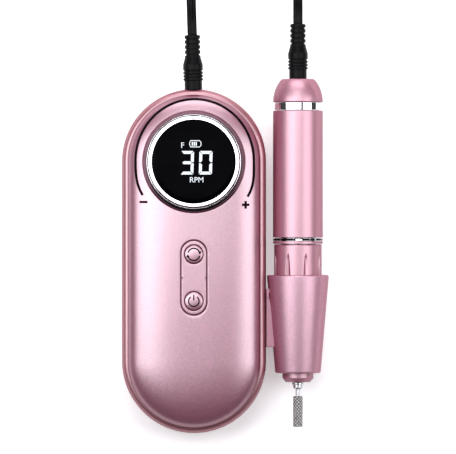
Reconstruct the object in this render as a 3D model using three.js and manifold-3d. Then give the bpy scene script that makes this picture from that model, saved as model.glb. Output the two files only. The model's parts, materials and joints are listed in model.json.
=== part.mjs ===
// A portable electric nail drill lying on its back: a pill-shaped control box with a speed knob,
// a display and two buttons, and a pen handpiece that stands in a cup clipped to the box's side.
// Millimetres. +Z comes out of the display, +Y runs towards the cord end, +X towards the handpiece.
// The origin is under the middle of the box and handpiece, on the plane that the rubber feet stand on.
import * as THREE from "three";
import { mergeVertices } from "three/addons/utils/BufferGeometryUtils.js";
import Module from "manifold-3d";

const wasm = await Module();
wasm.setup();

// ---------- Driving dimensions ----------
const seam = 0.2; // between two fixed housings
const gap = 0.3; // between fixed neighbours, and around what turns or slides

// Control box
const boxWidth = 72;
const boxLength = 172;
const wall = 2;
const footProud = 1.2;
const rearRounding = 7;
const bandHeight = 9.3;
const bandInset = 2.8; // how far the band's upper edge leans in
const bandShoulder = 4; // height of that lean
const bandWall = 4.4;
const domeHeight = 10.5;
const domeReach = 14; // how far in from its edge the front cover keeps rising

// Feet and case screws
const footRadius = 4.5;
const footThickness = 2.2;
const footX = 24;
const footFromEnd = 38;
const screwFromEnd = 58;
const postRadius = 3.2;
const postRoom = 1.2; // between a screw post and the battery cradle
const screwRadius = 1.2;
const screwHeadRadius = 2.6;
const screwHeadHeight = 1.7;

// Speed knob and display
const knobFromEnd = 36.5;
const knobRim = 3.1; // the chrome around the lens
const knobProud = 5.3; // knob top above the cover's crown
const knobRecess = 2.5;
const knobRecessGap = 1.5;
const lensRadius = 20.6;
const lensThickness = 0.8;
const moduleThickness = 2.2;
const towerRadius = 13.5;
const towerRoom = 1.1; // between the tower and the knob turning round it
const hubWall = 3;
const gearRim = 1.4; // from the gear's bore to its pitch circle
const knobTeeth = 40;
const pinionTeeth = 10;
const gearThickness = 2.2;
const shaftRadius = 1.5;

// Buttons
const panelWidth = 12.4;
const panelLength = 36.7;
const panelFromKnob = 57.7;
const panelGroove = 0.6;
const panelDepth = 1;
const buttonRadius = 4.5;
const buttonProud = 1.1;
const buttonTravel = 0.7;
const buttonFlange = 0.9;
const buttonSpacing = 23.3;

// Inside the box
const boardThickness = 1.6;
const boardWidth = 41.6;
const boardFromEnd = 14.5;
const cellRadius = 9.2;
const cellLength = 65;
const cellSpace = 1; // between the two cells
const cellFromEnd = 14;
const cradleHeight = 8;
const cradleFloor = 0.7;
const cradleSide = 1.2;

// Jacks, plugs and cord
const plugBarrelRadius = 2.75;
const plugBarrelLength = 9;
const plugRadius = 4.4;
const plugRibRadius = 4.95;
const reliefRadius = 3.9;
const plugLean = 0.022; // the plug at the box leans a little, radians
const chargeWidth = 9;
const chargeHeight = 3.3;
const chargeDepth = 7.9;
const cordWidth = 4.8;
const cordThickness = 2.4;
const turnPitch = 2.6;
const turnsPerLayer = 2.77;
const coilRadius = 31.5; // middle of the outermost turn
const boxPlugX = -0.3;
const cordFromPlug = 0.4; // clear of the end of the plug
const coilX = -28;
const coilFromPlug = 76.5; // from the end of the plug at the box to the coil's centre
const plugLength = 27.6;
const strapThickness = 1;
const strapWidth = 9;

// Handpiece, along +Y
const barrelRadius = 12.5;
const barrelWall = 1.6;
const barrelLow = 11.8;
const barrelHigh = 75.2;
const tailRingLength = 3.7;
const tailCapLength = 11.6;
const tailTopRadius = 8.2;
const tailBoreRadius = 6.2;
const jackRadius = 5.6;
const motorRoom = 0.5; // around the motor in the barrel
const motorLow = 32;
const motorLength = 34;
const motorShaftRadius = 1.25;
const collarRingLength = 1.4;
const collarFlangeLength = 1.3;
const flangeTubeWall = 1.7;
const sleeveStep = 0.6; // how far the sleeve is set in from the barrel
const sleeveRoom = 0.4; // around the housing that it turns on
const sleeveLow = -40;
const sleeveLowWall = 1;
const fluteCount = 8;
const fluteRadius = 2.2;
const fluteDepth = 1;
const fluteTop = 3.4;
const camLow = -24;
const camLength = 8;
const housingWall = 1.3;
const housingLow = -52.5;
const housingHigh = 22;
const bearingLength = 5;
const spindleRadius = 4;
const spindleBore = 2.2;
const noseStep = 0.8; // how far the nose is set in from the housing
const noseLow = -60.5;
const colletRadius = 2.4;
const colletLow = -64;
const colletLength = 24;
const slitLength = 14;
const springTo = 34.5; // far end of the collet's spring, from the collet's open end
const bitRadius = 1.175;
const bitHeadRadius = 2.45;
const bitHeadTop = -67.5;
const bitHeadLength = 15.6;
const shankLength = 28.7;

// Holder cup
const cupTop = -7;
const cupLow = -55.8;
const cupTopRoom = 1.85; // around the sleeve at the rim
const cupLowRoom = 1; // around the housing at the floor
const cupFromBox = 0.45;
const cupWall = 1.8;
const cupFloor = 2.2;
const railTop = 11.1;
const railLow = -55.3;
const railPastStraight = 5.3; // how far the rail runs on into the box's round end
const railWidth = 4.4;
const railDepth = 1.4;
const sliderTop = -6.2;
const bracketTop = -14;
const bracketLow = -43;
const bracketWidth = 8;

// ---------- Radii and widths worked out from them ----------
const knobRadius = lensRadius + knobRim;
const hubBore = towerRadius + towerRoom;
const hubRadius = hubBore + hubWall;
const knobPitch = hubBore + gearRim;
const toothModule = (2 * knobPitch) / knobTeeth;
const pinionPitch = (toothModule * pinionTeeth) / 2;
const cellX = cellRadius + cellSpace / 2;
const cradleHalf = cellX + cellRadius + cradleSide;
const screwX = cradleHalf + postRoom + postRadius;
const motorRadius = barrelRadius - barrelWall - motorRoom;
const housingRadius = barrelRadius - barrelWall - flangeTubeWall - 2 * gap;
const housingBore = housingRadius - housingWall;
const sleeveRadius = barrelRadius - sleeveStep;
const sleeveBore = housingRadius + sleeveRoom;
const noseRadius = housingRadius - noseStep;
const noseBore = spindleRadius + sleeveRoom;
const noseTipRadius = (noseRadius + noseBore) / 2;
const cupTopRadius = sleeveRadius + cupTopRoom + cupWall;
const cupLowRadius = housingRadius + cupLowRoom + cupWall;

// ---------- Levels of the box, from the floor up ----------
// The cells stand in their cradle under the board, the board under the knob's gear, and the gear
// under the cover's recess; the rear shell is as deep as that stack needs.
const boardRoom = 0.5; // between board and gear
const cellRoom = 0.2; // around a cell
const hubProud = 0.1; // how far the knob's hub comes out under the cover
const overBoard = knobRecess + wall + hubProud + gap + gearThickness + boardRoom;
const underBoard = 2 * cellRadius + 2 * cellRoom + cradleFloor + gap + wall;
const rearHeight = underBoard + boardThickness + overBoard - 2 * seam - bandHeight - domeHeight;
const rearTop = footProud + rearHeight;
const bandLow = rearTop + seam;
const bandTop = bandLow + bandHeight;
const bandMiddle = (bandLow + bandTop) / 2;
const frontLow = bandTop + seam;
const crown = frontLow + domeHeight;
const recessFloor = crown - knobRecess;
const recessRadius = knobRadius + knobRecessGap;
const knobLow = recessFloor + 0.5;
const knobTop = crown + knobProud;
const lensTop = knobTop - 0.2;
const moduleTop = lensTop - lensThickness - gap;
const towerTop = moduleTop - moduleThickness - gap;
const webTop = towerTop - gap;
const bossLow = recessFloor - wall;
const hubLow = bossLow - hubProud;
const gearTop = hubLow - gap;
const gearLow = gearTop - gearThickness;
const boardTop = gearLow - boardRoom;
const boardLow = boardTop - boardThickness;
const cellZ = boardLow - cellRoom - cellRadius;

// ---------- Places along and across ----------
const halfWidth = boxWidth / 2;
const halfLength = boxLength / 2;
const straightEnd = halfLength - halfWidth; // centre of the box's round ends
const fourWays = [[-1, -1], [1, -1], [-1, 1], [1, 1]];
const knobY = halfLength - knobFromEnd;
const pinionY = knobY - knobPitch - pinionPitch;
const panelY = knobY - panelFromKnob;
const directionY = panelY + buttonSpacing / 2;
const powerY = panelY - buttonSpacing / 2;
const screwY = halfLength - screwFromEnd;
const footY = halfLength - footFromEnd;
const cellLow = cellFromEnd - halfLength;
const cellHigh = cellLow + cellLength;
const plugFace = halfLength - 0.5;
const coilY = plugFace + plugLength + coilFromPlug;
const penX = halfWidth + cupFromBox + cupTopRadius;
const penY = -straightEnd - railPastStraight - railLow; // the handpiece and its holder follow the rail
const penZ = bandMiddle;
const tailRingLow = barrelHigh + gap;
const tailRingHigh = tailRingLow + tailRingLength;
const tailCapLow = tailRingHigh + gap;
const tailTop = tailCapLow + tailCapLength;
const collarRingLow = barrelLow - gap - collarRingLength;
const collarFlangeTop = collarRingLow - gap / 2;
const collarFlangeLow = collarFlangeTop - collarFlangeLength;
const sleeveTop = collarFlangeLow - gap;
const bitLow = bitHeadTop - bitHeadLength;
const originX = (penX + cupTopRadius - halfWidth) / 2;
const originY = (Math.max(tailTop + penY, halfLength) + Math.min(bitLow + penY, -halfLength)) / 2;

// ---------- Finishes ----------
function finish(color, roughness, metalness) {
  return () => new THREE.MeshStandardMaterial({ color, roughness, metalness });
}
const pinkMetallic = finish(0xd79fb3, 0.35, 0.6);
const pinkBand = finish(0xc27b90, 0.4, 0.5);
const chrome = finish(0xe8e8ea, 0.08, 1);
const steel = finish(0xb9bcc0, 0.3, 1);
const blackPlastic = finish(0x151515, 0.5, 0);
const blackGlass = finish(0x030303, 0.05, 0);
const blackRubber = finish(0x1b1b1c, 0.7, 0);
const boardGreen = finish(0x1d5b38, 0.6, 0);
const cellWrap = finish(0x2f6fb0, 0.5, 0);
const whitePlastic = finish(0xe6e6e2, 0.5, 0);
const brass = finish(0xc2a24e, 0.3, 1);
const abrasive = finish(0xa8a6a2, 0.6, 0.8);

// ---------- Solids ----------
// A closed geometry as a solid that can be joined and cut.
function solidOf(geometry) {
  const bare = geometry.clone();
  bare.deleteAttribute("normal");
  bare.deleteAttribute("uv");
  const merged = mergeVertices(bare, 1e-4);
  return new wasm.Manifold(
    new wasm.Mesh({
      numProp: 3,
      vertProperties: merged.attributes.position.array,
      triVerts: new Uint32Array(merged.index.array),
    }),
  );
}

// The geometry of a solid, for a mesh.
function geometryOf(solid) {
  const made = solid.getMesh();
  const geometry = new THREE.BufferGeometry();
  geometry.setAttribute("position", new THREE.BufferAttribute(new Float32Array(made.vertProperties), 3));
  geometry.setIndex(new THREE.BufferAttribute(new Uint32Array(made.triVerts), 1));
  geometry.computeVertexNormals();
  return geometry;
}

// A block between two corners.
function block(x0, x1, y0, y1, z0, z1) {
  const geometry = new THREE.BoxGeometry(x1 - x0, y1 - y0, z1 - z0);
  return solidOf(geometry.translate((x0 + x1) / 2, (y0 + y1) / 2, (z0 + z1) / 2));
}

// A body turned about the Y axis from [radius, y] pairs that rise in y on the outside.
function turnedY(profile, segments = 32) {
  const points = profile.map(([radius, y]) => new THREE.Vector2(radius, y));
  return solidOf(new THREE.LatheGeometry(points, segments));
}

// The same body standing along Z, moved to (x, y).
function turnedZ(profile, x = 0, y = 0, segments = 32) {
  const points = profile.map(([radius, z]) => new THREE.Vector2(radius, z));
  return solidOf(new THREE.LatheGeometry(points, segments).rotateX(Math.PI / 2).translate(x, y, 0));
}

function rod(radius, low, high) {
  return [[0, low], [radius, low], [radius, high], [0, high]];
}

function tube(inner, outer, low, high) {
  return [[inner, low], [outer, low], [outer, high], [inner, high], [inner, low]];
}

const pillSteps = 8; // half the facets of each round end

// A pill outline: two half circles joined by straight sides along Y.
function pillShape(halfAcross, halfStraight) {
  const shape = new THREE.Shape();
  shape.absarc(0, halfStraight, halfAcross, 0, Math.PI);
  shape.absarc(0, -halfStraight, halfAcross, Math.PI, 2 * Math.PI);
  shape.closePath();
  return shape;
}

// A straight-walled pill between two levels.
function pill(halfAcross, halfStraight, low, high, y = 0) {
  const geometry = new THREE.ExtrudeGeometry(pillShape(halfAcross, halfStraight), {
    depth: high - low,
    bevelEnabled: false,
    curveSegments: pillSteps,
  });
  return solidOf(geometry.translate(0, y, low));
}

// A pill whose upper edge curves in by reach over its top rise, as a quarter ellipse.
function domedPill(halfAcross, low, high, reach, rise, steps) {
  const straightSide = high - rise - low;
  const below = 1; // cut off again, so that only the upper edge is curved
  const geometry = new THREE.ExtrudeGeometry(pillShape(halfAcross - reach, halfLength - halfWidth), {
    depth: straightSide + below,
    bevelEnabled: true,
    bevelSize: reach,
    bevelThickness: rise,
    bevelSegments: steps,
    curveSegments: pillSteps,
  });
  const whole = solidOf(geometry.translate(0, 0, low - below));
  return whole.intersect(block(-boxWidth, boxWidth, -boxLength, boxLength, low, high + 1));
}

// ---------- Control box ----------
function frontShell() {
  const halfAcross = halfWidth - bandInset;
  const outer = domedPill(halfAcross, frontLow, crown, domeReach, domeHeight, 5);
  const hollowRise = domeHeight - wall;
  let hollow = domedPill(halfAcross - wall, frontLow - 1, crown - wall, domeReach - 1, hollowRise, 4);
  hollow = hollow.subtract(turnedZ(rod(recessRadius + wall, bossLow, crown), 0, knobY, 48));
  let shell = outer.subtract(hollow);
  for (const [sideX, sideY] of fourWays) {
    const [x, y] = [sideX * screwX, sideY * screwY];
    const inDome = turnedZ(rod(postRadius, frontLow, crown), x, y, 12).intersect(outer);
    shell = shell.add(inDome).add(turnedZ(rod(postRadius, rearTop + gap, frontLow + wall), x, y, 12));
  }
  shell = shell.subtract(turnedZ(rod(recessRadius, recessFloor, crown + 1), 0, knobY, 48));
  shell = shell.subtract(turnedZ(rod(hubRadius + 0.5, bossLow - 1, crown), 0, knobY, 48));
  for (const [sideX, sideY] of fourWays) {
    const hole = turnedZ(rod(screwRadius + gap, rearTop, frontLow + 2), sideX * screwX, sideY * screwY, 8);
    shell = shell.subtract(hole);
  }
  const half = panelWidth / 2 + panelGroove;
  const seat = pill(half, (panelLength - panelWidth) / 2, crown - panelDepth, crown + 1, panelY);
  shell = shell.subtract(seat);
  for (const y of [directionY, powerY])
    shell = shell.subtract(turnedZ(rod(buttonRadius + gap, crown - 2 * wall, crown), 0, y, 28));
  return shell;
}

function sideBand() {
  const outer = domedPill(halfWidth, bandLow, bandTop, bandInset, bandShoulder, 4);
  let band = outer.subtract(pill(halfWidth - bandWall, straightEnd, bandLow - 1, bandTop + 1));
  // Rail for the holder, in the right-hand side
  const railFloor = halfWidth - railDepth - gap;
  const halfRail = railWidth / 2 + gap;
  band = band.subtract(
    block(railFloor, halfWidth + 1, penY + railLow - gap, penY + railTop, penZ - halfRail, penZ + halfRail),
  );
  // Hole and spot face for the plug
  const hole = turnedY(rod(plugBarrelRadius + 0.8, halfLength - 2 * bandWall, halfLength + 1), 20);
  const face = turnedY(rod(plugRadius + 0.5, plugFace - gap, halfLength + 1), 24);
  band = band.subtract(hole.add(face).translate([0, 0, penZ]));
  // Slot for the charging plug
  const across = chargeWidth / 2 + gap;
  const up = chargeHeight / 2 + gap;
  return band.subtract(
    block(-across, across, -halfLength - 1, 2 * bandWall - halfLength, bandMiddle - up, bandMiddle + up),
  );
}

function rearShell() {
  // Made with its curved edge up, then turned over
  const flip = (solid) => solid.rotate([180, 0, 0]).translate([0, 0, footProud + rearTop]);
  const outer = flip(domedPill(halfWidth, footProud, rearTop, rearRounding, rearRounding, 3));
  const rounding = rearRounding - wall;
  const hollow = flip(
    domedPill(halfWidth - wall, footProud - 1, rearTop - wall, rounding, rounding, 3),
  );
  let shell = outer.subtract(hollow);
  for (const [sideX, sideY] of fourWays) {
    const [x, y] = [sideX * screwX, sideY * screwY];
    shell = shell.add(turnedZ(rod(postRadius, footProud + 1, rearTop), x, y, 12));
    shell = shell.subtract(turnedZ(rod(screwRadius + gap, footProud, rearTop + 1), x, y, 8));
    const seatTop = footProud + 2 * gap + screwHeadHeight;
    shell = shell.subtract(turnedZ(rod(screwHeadRadius + gap, footProud - 1, seatTop), x, y, 12));
    const footSeat = rod(footRadius + gap, footProud - 1, footThickness + gap);
    shell = shell.subtract(turnedZ(footSeat, sideX * footX, sideY * footY, 20));
  }
  return shell;
}

function caseScrew() {
  const headLow = footProud + gap;
  const headHigh = headLow + screwHeadHeight;
  const profile = [[0, headLow], [screwHeadRadius, headLow], [screwHeadRadius, headHigh]];
  profile.push([screwRadius, headHigh], [screwRadius, frontLow], [0, frontLow]);
  const crossDepth = 0.8;
  const crossHalf = screwHeadRadius * 0.6;
  const cut = block(-crossHalf, crossHalf, -0.3, 0.3, headLow - 1, headLow + crossDepth);
  const other = block(-0.3, 0.3, -crossHalf, crossHalf, headLow - 1, headLow + crossDepth);
  return turnedZ(profile, 0, 0, 12).subtract(cut).subtract(other);
}

function foot() {
  const edge = 0.5;
  const profile = [[0, 0], [footRadius - edge, 0], [footRadius, edge]];
  profile.push([footRadius, footThickness], [0, footThickness]);
  return turnedZ(profile, 0, 0, 20);
}

function buttonPanel() {
  const floor = crown - panelDepth + seam;
  let panel = pill(panelWidth / 2, (panelLength - panelWidth) / 2, floor, crown + 0.1, panelY);
  for (const y of [directionY, powerY])
    panel = panel.subtract(turnedZ(rod(buttonRadius + gap, floor - 1, crown + 1), 0, y, 28));
  return panel;
}

// A domed button with a flange that keeps it behind the cover
function button() {
  const flangeTop = crown - wall - gap;
  const low = flangeTop - buttonFlange;
  const shoulder = crown + 0.35;
  const top = crown + buttonProud;
  const flangeRadius = buttonRadius + 0.9;
  const profile = [[0, low], [flangeRadius, low], [flangeRadius, flangeTop], [buttonRadius, flangeTop]];
  for (const share of [0, 0.25, 0.5, 0.75, 1]) {
    const turn = (share * Math.PI) / 2;
    profile.push([buttonRadius * Math.cos(turn), shoulder + (top - shoulder) * Math.sin(turn)]);
  }
  profile[profile.length - 1][0] = 0;
  return turnedZ(profile, 0, 0, 28);
}

function tactSwitch() {
  const plungerTop = crown - wall - gap - buttonFlange - buttonTravel - gap;
  const bodyTop = plungerTop - 0.6;
  const half = 3;
  const body = block(-half, half, -half, half, boardTop + gap / 2, bodyTop);
  return body.add(turnedZ(rod(1.7, bodyTop - 0.5, plungerTop), 0, 0, 16));
}

function mainBoard() {
  const half = boardWidth / 2;
  const board = pill(half, halfLength - boardFromEnd - half, boardLow, boardTop);
  return board.subtract(turnedZ(rod(shaftRadius + 0.5, boardLow - 1, boardTop + 1), 0, pinionY, 16));
}

function batteryCell() {
  const cap = 3;
  const shoulder = cellHigh - 1;
  const profile = [[0, cellLow], [cellRadius, cellLow], [cellRadius, shoulder], [cap, shoulder]];
  profile.push([cap, cellHigh], [0, cellHigh]);
  return turnedY(profile, 24);
}

function batteryCradle() {
  const low = footProud + wall + gap;
  const end = 1; // the cells stand out a little at both ends
  const floorRadius = halfWidth - rearRounding + 1; // of the rear shell's inside, just over its floor
  const cornerLow = -straightEnd - Math.sqrt(floorRadius ** 2 - cradleHalf ** 2);
  const endLow = Math.max(cellLow + end, cornerLow);
  let cradle = block(-cradleHalf, cradleHalf, endLow, cellHigh - end, low, low + cradleHeight);
  for (const side of [-1, 1]) {
    const bed = turnedY(rod(cellRadius + cellRoom, cellLow - 1, cellHigh + 1), 24);
    cradle = cradle.subtract(bed.translate([side * cellX, 0, cellZ]));
  }
  return cradle;
}

function outputJack() {
  const half = 5.5;
  const up = bandTop - penZ; // level with the band, so that it clears the front cover
  const front = Math.sqrt((halfWidth - bandWall) ** 2 - half ** 2) + straightEnd - gap;
  const depth = plugBarrelLength + 3;
  const body = block(-half, half, front - depth, front, penZ - up, penZ + up);
  const bore = turnedY(rod(plugBarrelRadius + 0.45, plugFace - plugBarrelLength - 1, front + 1), 20);
  return body.subtract(bore.translate([0, 0, penZ]));
}

function chargeJack() {
  const skin = 0.4;
  const mouth = 0.6 - halfLength;
  const [w, h] = [chargeWidth / 2, chargeHeight / 2];
  const [low, high] = [bandMiddle - h, bandMiddle + h];
  const shell = block(-w, w, mouth, mouth + chargeDepth, low, high);
  const hollow = block(-w + skin, w - skin, mouth - 1, mouth + chargeDepth - 1, low + skin, high - skin);
  const [tongueHalf, tongueUp] = [w - 1.2, 0.35];
  const back = mouth + chargeDepth - 0.5;
  const [under, over] = [bandMiddle - tongueUp, bandMiddle + tongueUp];
  const tongue = block(-tongueHalf, tongueHalf, mouth + 0.8, back, under, over);
  return shell.subtract(hollow).add(tongue);
}

// ---------- Knob and display ----------
function speedKnob() {
  const edge = 0.8;
  const inner = lensRadius + 0.25;
  const profile = [[hubBore, hubLow], [hubRadius, hubLow], [hubRadius, knobLow], [knobRadius, knobLow]];
  profile.push([knobRadius, knobTop - edge], [knobRadius - edge, knobTop], [inner, knobTop]);
  profile.push([inner, webTop], [hubBore, webTop], [hubBore, hubLow]);
  return turnedZ(profile, 0, 0, 44);
}

// A spur gear about Z between two levels; a tooth, or half a gap, points along +X.
function spurGear(teeth, low, high, bore, startTurn) {
  const pitch = (toothModule * teeth) / 2;
  const root = pitch - 1.1 * toothModule;
  const tip = pitch + 0.75 * toothModule;
  const step = (2 * Math.PI) / teeth;
  const shape = new THREE.Shape();
  for (let tooth = 0; tooth < teeth; tooth++) {
    for (const [radius, share] of [[root, -0.27], [tip, -0.09], [tip, 0.09], [root, 0.27]]) {
      const turn = startTurn + (tooth + share) * step;
      const [x, y] = [radius * Math.cos(turn), radius * Math.sin(turn)];
      if (tooth === 0 && share === -0.27) shape.moveTo(x, y);
      else shape.lineTo(x, y);
    }
  }
  shape.closePath();
  const geometry = new THREE.ExtrudeGeometry(shape, { depth: high - low, bevelEnabled: false });
  const gear = solidOf(geometry.translate(0, 0, low));
  return bore > 0 ? gear.subtract(turnedZ(rod(bore, low - 1, high + 1), 0, 0, 24)) : gear;
}

function knobGear() {
  return spurGear(knobTeeth, gearLow, gearTop, hubBore, -Math.PI / 2);
}

// The pinion's shaft goes down through the board into the encoder.
function encoderPinion() {
  const halfStep = Math.PI / pinionTeeth;
  const gear = spurGear(pinionTeeth, gearLow, gearTop, 0, Math.PI / 2 + halfStep);
  return gear.add(turnedZ(rod(shaftRadius, boardLow - 3, gearLow + 0.5), 0, 0, 16));
}

function encoderBody() {
  const half = 6;
  const high = boardLow - gap;
  const body = block(-half, half, -half, half, high - 6, high);
  return body.subtract(turnedZ(rod(shaftRadius + gap, high - 4, high + 1), 0, 0, 16));
}

function displayTower() {
  return turnedZ(tube(towerRadius - 2, towerRadius, boardTop + gap, towerTop), 0, knobY, 24);
}

function displayModule() {
  return turnedZ(rod(lensRadius - 1, moduleTop - moduleThickness, moduleTop), 0, knobY, 32);
}

function displayLens() {
  const edge = 0.3;
  const low = lensTop - lensThickness;
  const profile = [[0, low], [lensRadius, low], [lensRadius, lensTop - edge]];
  profile.push([lensRadius - edge, lensTop], [0, lensTop]);
  return turnedZ(profile, 0, knobY, 48);
}

// ---------- Holder cup, with the bracket and slider that hang it on the box ----------
// Built in the handpiece's own place: y = 0 is where the handpiece's y = 0 is.
function holderCup() {
  const slope = (cupTopRadius - cupLowRadius) / (cupTop - cupLow);
  const radiusAt = (y) => cupLowRadius + slope * (y - cupLow);
  const rim = 0.8;
  const outer = [[0, cupLow - 0.2], [cupLowRadius - rim, cupLow - 0.2], [cupLowRadius, cupLow + rim]];
  outer.push([cupTopRadius, cupTop - rim], [cupTopRadius - rim, cupTop], [0, cupTop]);
  const floor = cupLow + cupFloor;
  const inside = [[0, floor], [radiusAt(floor) - cupWall, floor]];
  inside.push([radiusAt(cupTop + 1) - cupWall, cupTop + 1], [0, cupTop + 1]);
  const hole = turnedY(rod(noseRadius + 0.5, cupLow - 2, floor + 1), 32);
  const [side, railHalf, bracketHalf] = [halfWidth - penX, railWidth / 2, bracketWidth / 2];
  const neck = block(side - railDepth / 2, side + gap, bracketLow, bracketTop, -railHalf, railHalf);
  const armEnd = cupWall - radiusAt(bracketLow);
  const arm = block(side + gap, armEnd, bracketLow, bracketTop, -bracketHalf, bracketHalf);
  const slider = block(side - railDepth, side - seam, railLow, sliderTop, -railHalf, railHalf);
  const cup = turnedY(outer, 32).add(arm).add(neck);
  return cup.subtract(turnedY(inside, 32).add(hole)).add(slider);
}

// ---------- Handpiece, turned about its own axis ----------
function tailCap() {
  const height = tailTop - tailCapLow;
  const domeHeightWhole = height / Math.sqrt(1 - (tailTopRadius / barrelRadius) ** 2);
  const profile = [[tailBoreRadius, tailCapLow], [barrelRadius, tailCapLow]];
  for (const share of [0.2, 0.4, 0.6, 0.75, 0.88, 1]) {
    const up = share * height;
    profile.push([barrelRadius * Math.sqrt(1 - (up / domeHeightWhole) ** 2), tailCapLow + up]);
  }
  const lip = tailTop - wall;
  profile.push([plugBarrelRadius + 0.6, tailTop], [plugBarrelRadius + 0.6, lip], [tailBoreRadius, lip]);
  profile.push([tailBoreRadius, tailCapLow]);
  return turnedY(profile);
}

function handpieceJack() {
  const high = tailTop - wall - gap;
  const bore = plugBarrelRadius + 0.3;
  const low = high - plugBarrelLength - 3;
  const floor = low + 2;
  const profile = [[0, low], [jackRadius, low], [jackRadius, high], [bore, high], [bore, floor], [0, floor]];
  return turnedY(profile, 24);
}

function tailRing() {
  return turnedY(tube(jackRadius + gap, barrelRadius, tailRingLow, tailRingHigh));
}

function barrel() {
  return turnedY(tube(barrelRadius - barrelWall, barrelRadius, barrelLow, barrelHigh));
}

function motorCan() {
  const high = motorLow + motorLength;
  const bore = motorShaftRadius + gap;
  const profile = [[bore, motorLow], [motorRadius, motorLow], [motorRadius, high], [0, high]];
  profile.push([0, motorLow + 8], [bore, motorLow + 8], [bore, motorLow]);
  return turnedY(profile);
}

function motorEndBell() {
  const low = motorLow + motorLength + gap;
  const bossRadius = 4;
  const plateTop = low + 3.5;
  const bossTop = low + 5.5;
  const profile = [[0, low], [motorRadius, low], [motorRadius, plateTop], [bossRadius, plateTop]];
  profile.push([bossRadius, bossTop], [0, bossTop]);
  return turnedY(profile, 24);
}

function motorShaft() {
  return turnedY(rod(motorShaftRadius, housingHigh + 2.5, motorLow + 7.5), 12);
}

function driveCoupling() {
  const low = housingHigh + 1;
  return turnedY(tube(motorShaftRadius + gap, spindleRadius, low, motorLow - 2), 20);
}

function collarFlange() {
  const rim = barrelRadius - 0.1;
  const tubeRadius = barrelRadius - barrelWall - gap;
  const tubeTop = housingHigh - 3;
  const bore = housingRadius + gap;
  const profile = [[bore, collarFlangeLow], [rim, collarFlangeLow], [rim, collarFlangeTop]];
  profile.push([tubeRadius, collarFlangeTop], [tubeRadius, tubeTop]);
  profile.push([bore, tubeTop], [bore, collarFlangeLow]);
  return turnedY(profile);
}

function collarRing() {
  return turnedY(tube(barrelRadius - barrelWall, barrelRadius, collarRingLow, barrelLow - gap));
}

function spindleHousing() {
  return turnedY(tube(housingBore, housingRadius, housingLow, housingHigh));
}

function bearing(low) {
  return turnedY(tube(spindleRadius + gap, housingBore - gap, low, low + bearingLength), 20);
}

function noseTip() {
  const chamferTop = noseLow + 2;
  const high = housingLow - gap;
  const profile = [[noseBore, noseLow], [noseTipRadius, noseLow], [noseRadius, chamferTop]];
  profile.push([noseRadius, high], [noseBore, high], [noseBore, noseLow]);
  return turnedY(profile);
}

function twistSleeve() {
  const taperTop = cupTop - 2;
  const lowRadius = sleeveBore + sleeveLowWall;
  const [pocketLow, pocketHigh] = [camLow - 0.5, camLow + camLength + 0.5];
  const pocket = sleeveBore + 0.9;
  const profile = [[sleeveBore, sleeveLow], [lowRadius, sleeveLow], [sleeveRadius, taperTop]];
  profile.push([sleeveRadius, sleeveTop], [sleeveBore, sleeveTop], [sleeveBore, pocketHigh]);
  profile.push([pocket, pocketHigh], [pocket, pocketLow], [sleeveBore, pocketLow], [sleeveBore, sleeveLow]);
  let sleeve = turnedY(profile);
  const fluteLow = sleeveLow - 1;
  for (let flute = 0; flute < fluteCount; flute++) {
    const turn = ((flute + 0.5) * 2 * Math.PI) / fluteCount;
    const away = sleeveRadius + fluteRadius - fluteDepth;
    const runOut = [[0, fluteLow], [fluteRadius, fluteLow], [fluteRadius, fluteTop - 5], [0, fluteTop]];
    const groove = turnedY(runOut, 12).translate([away * Math.cos(turn), 0, away * Math.sin(turn)]);
    sleeve = sleeve.subtract(groove);
  }
  return sleeve;
}

function camRing() {
  const [low, high] = [camLow, camLow + camLength];
  const ring = turnedY(tube(housingRadius + gap, sleeveBore + 0.6, low, high), 32);
  const land = 2.5; // left above and below the windows for the lock balls
  const window = block(-sleeveBore - 2, sleeveBore + 2, low + land, high - land, -1.5, 1.5);
  return ring.subtract(window);
}

function spindle() {
  const low = noseLow + gap;
  const high = housingHigh + 0.7;
  const boreTop = colletLow + springTo + 0.5;
  const profile = [[spindleBore, low], [spindleRadius, low], [spindleRadius, high], [0, high]];
  profile.push([0, boreTop], [spindleBore, boreTop], [spindleBore, low]);
  return turnedY(profile, 24);
}

function collet() {
  const flangeTop = noseLow - gap;
  const [flange, tail] = [colletRadius + 0.6, spindleBore - gap];
  const bore = bitRadius + 0.25;
  const top = colletLow + colletLength;
  const flangeLow = flangeTop - 1;
  const profile = [[bore, colletLow], [colletRadius, colletLow]];
  profile.push([colletRadius, flangeLow], [flange, flangeLow]);
  profile.push([flange, flangeTop], [tail, flangeTop], [tail, top], [bore, top], [bore, colletLow]);
  const slitTop = colletLow + slitLength;
  const slit = block(-5, 5, colletLow - 1, slitTop, -0.2, 0.2);
  const other = block(-0.2, 0.2, colletLow - 1, slitTop, -5, 5);
  return turnedY(profile, 24).subtract(slit).subtract(other);
}

// A small coil spring behind the collet, around the end of the bit
function colletSpring() {
  const wire = 0.25;
  const middle = spindleBore - gap - wire;
  const [low, high] = [colletLow + colletLength + gap + wire, colletLow + springTo - wire];
  const turns = 5;
  const steps = 8 * turns;
  const points = [];
  for (let step = 0; step <= steps; step++) {
    const turn = (step * Math.PI) / 4;
    const y = low + ((high - low) * step) / steps;
    points.push(new THREE.Vector3(middle * Math.cos(turn), y, middle * Math.sin(turn)));
  }
  const section = new THREE.Shape();
  section.absarc(0, 0, wire, 0, 2 * Math.PI);
  const path = new THREE.CatmullRomCurve3(points);
  return solidOf(new THREE.ExtrudeGeometry(section, { steps, extrudePath: path, curveSegments: 2 }));
}

function bitShank() {
  const low = bitHeadTop + gap;
  const high = low + shankLength;
  const edge = 0.4;
  const profile = [[0, low], [bitRadius, low], [bitRadius, high - edge]];
  profile.push([bitRadius - edge, high], [0, high]);
  return turnedY(profile, 20);
}

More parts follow.
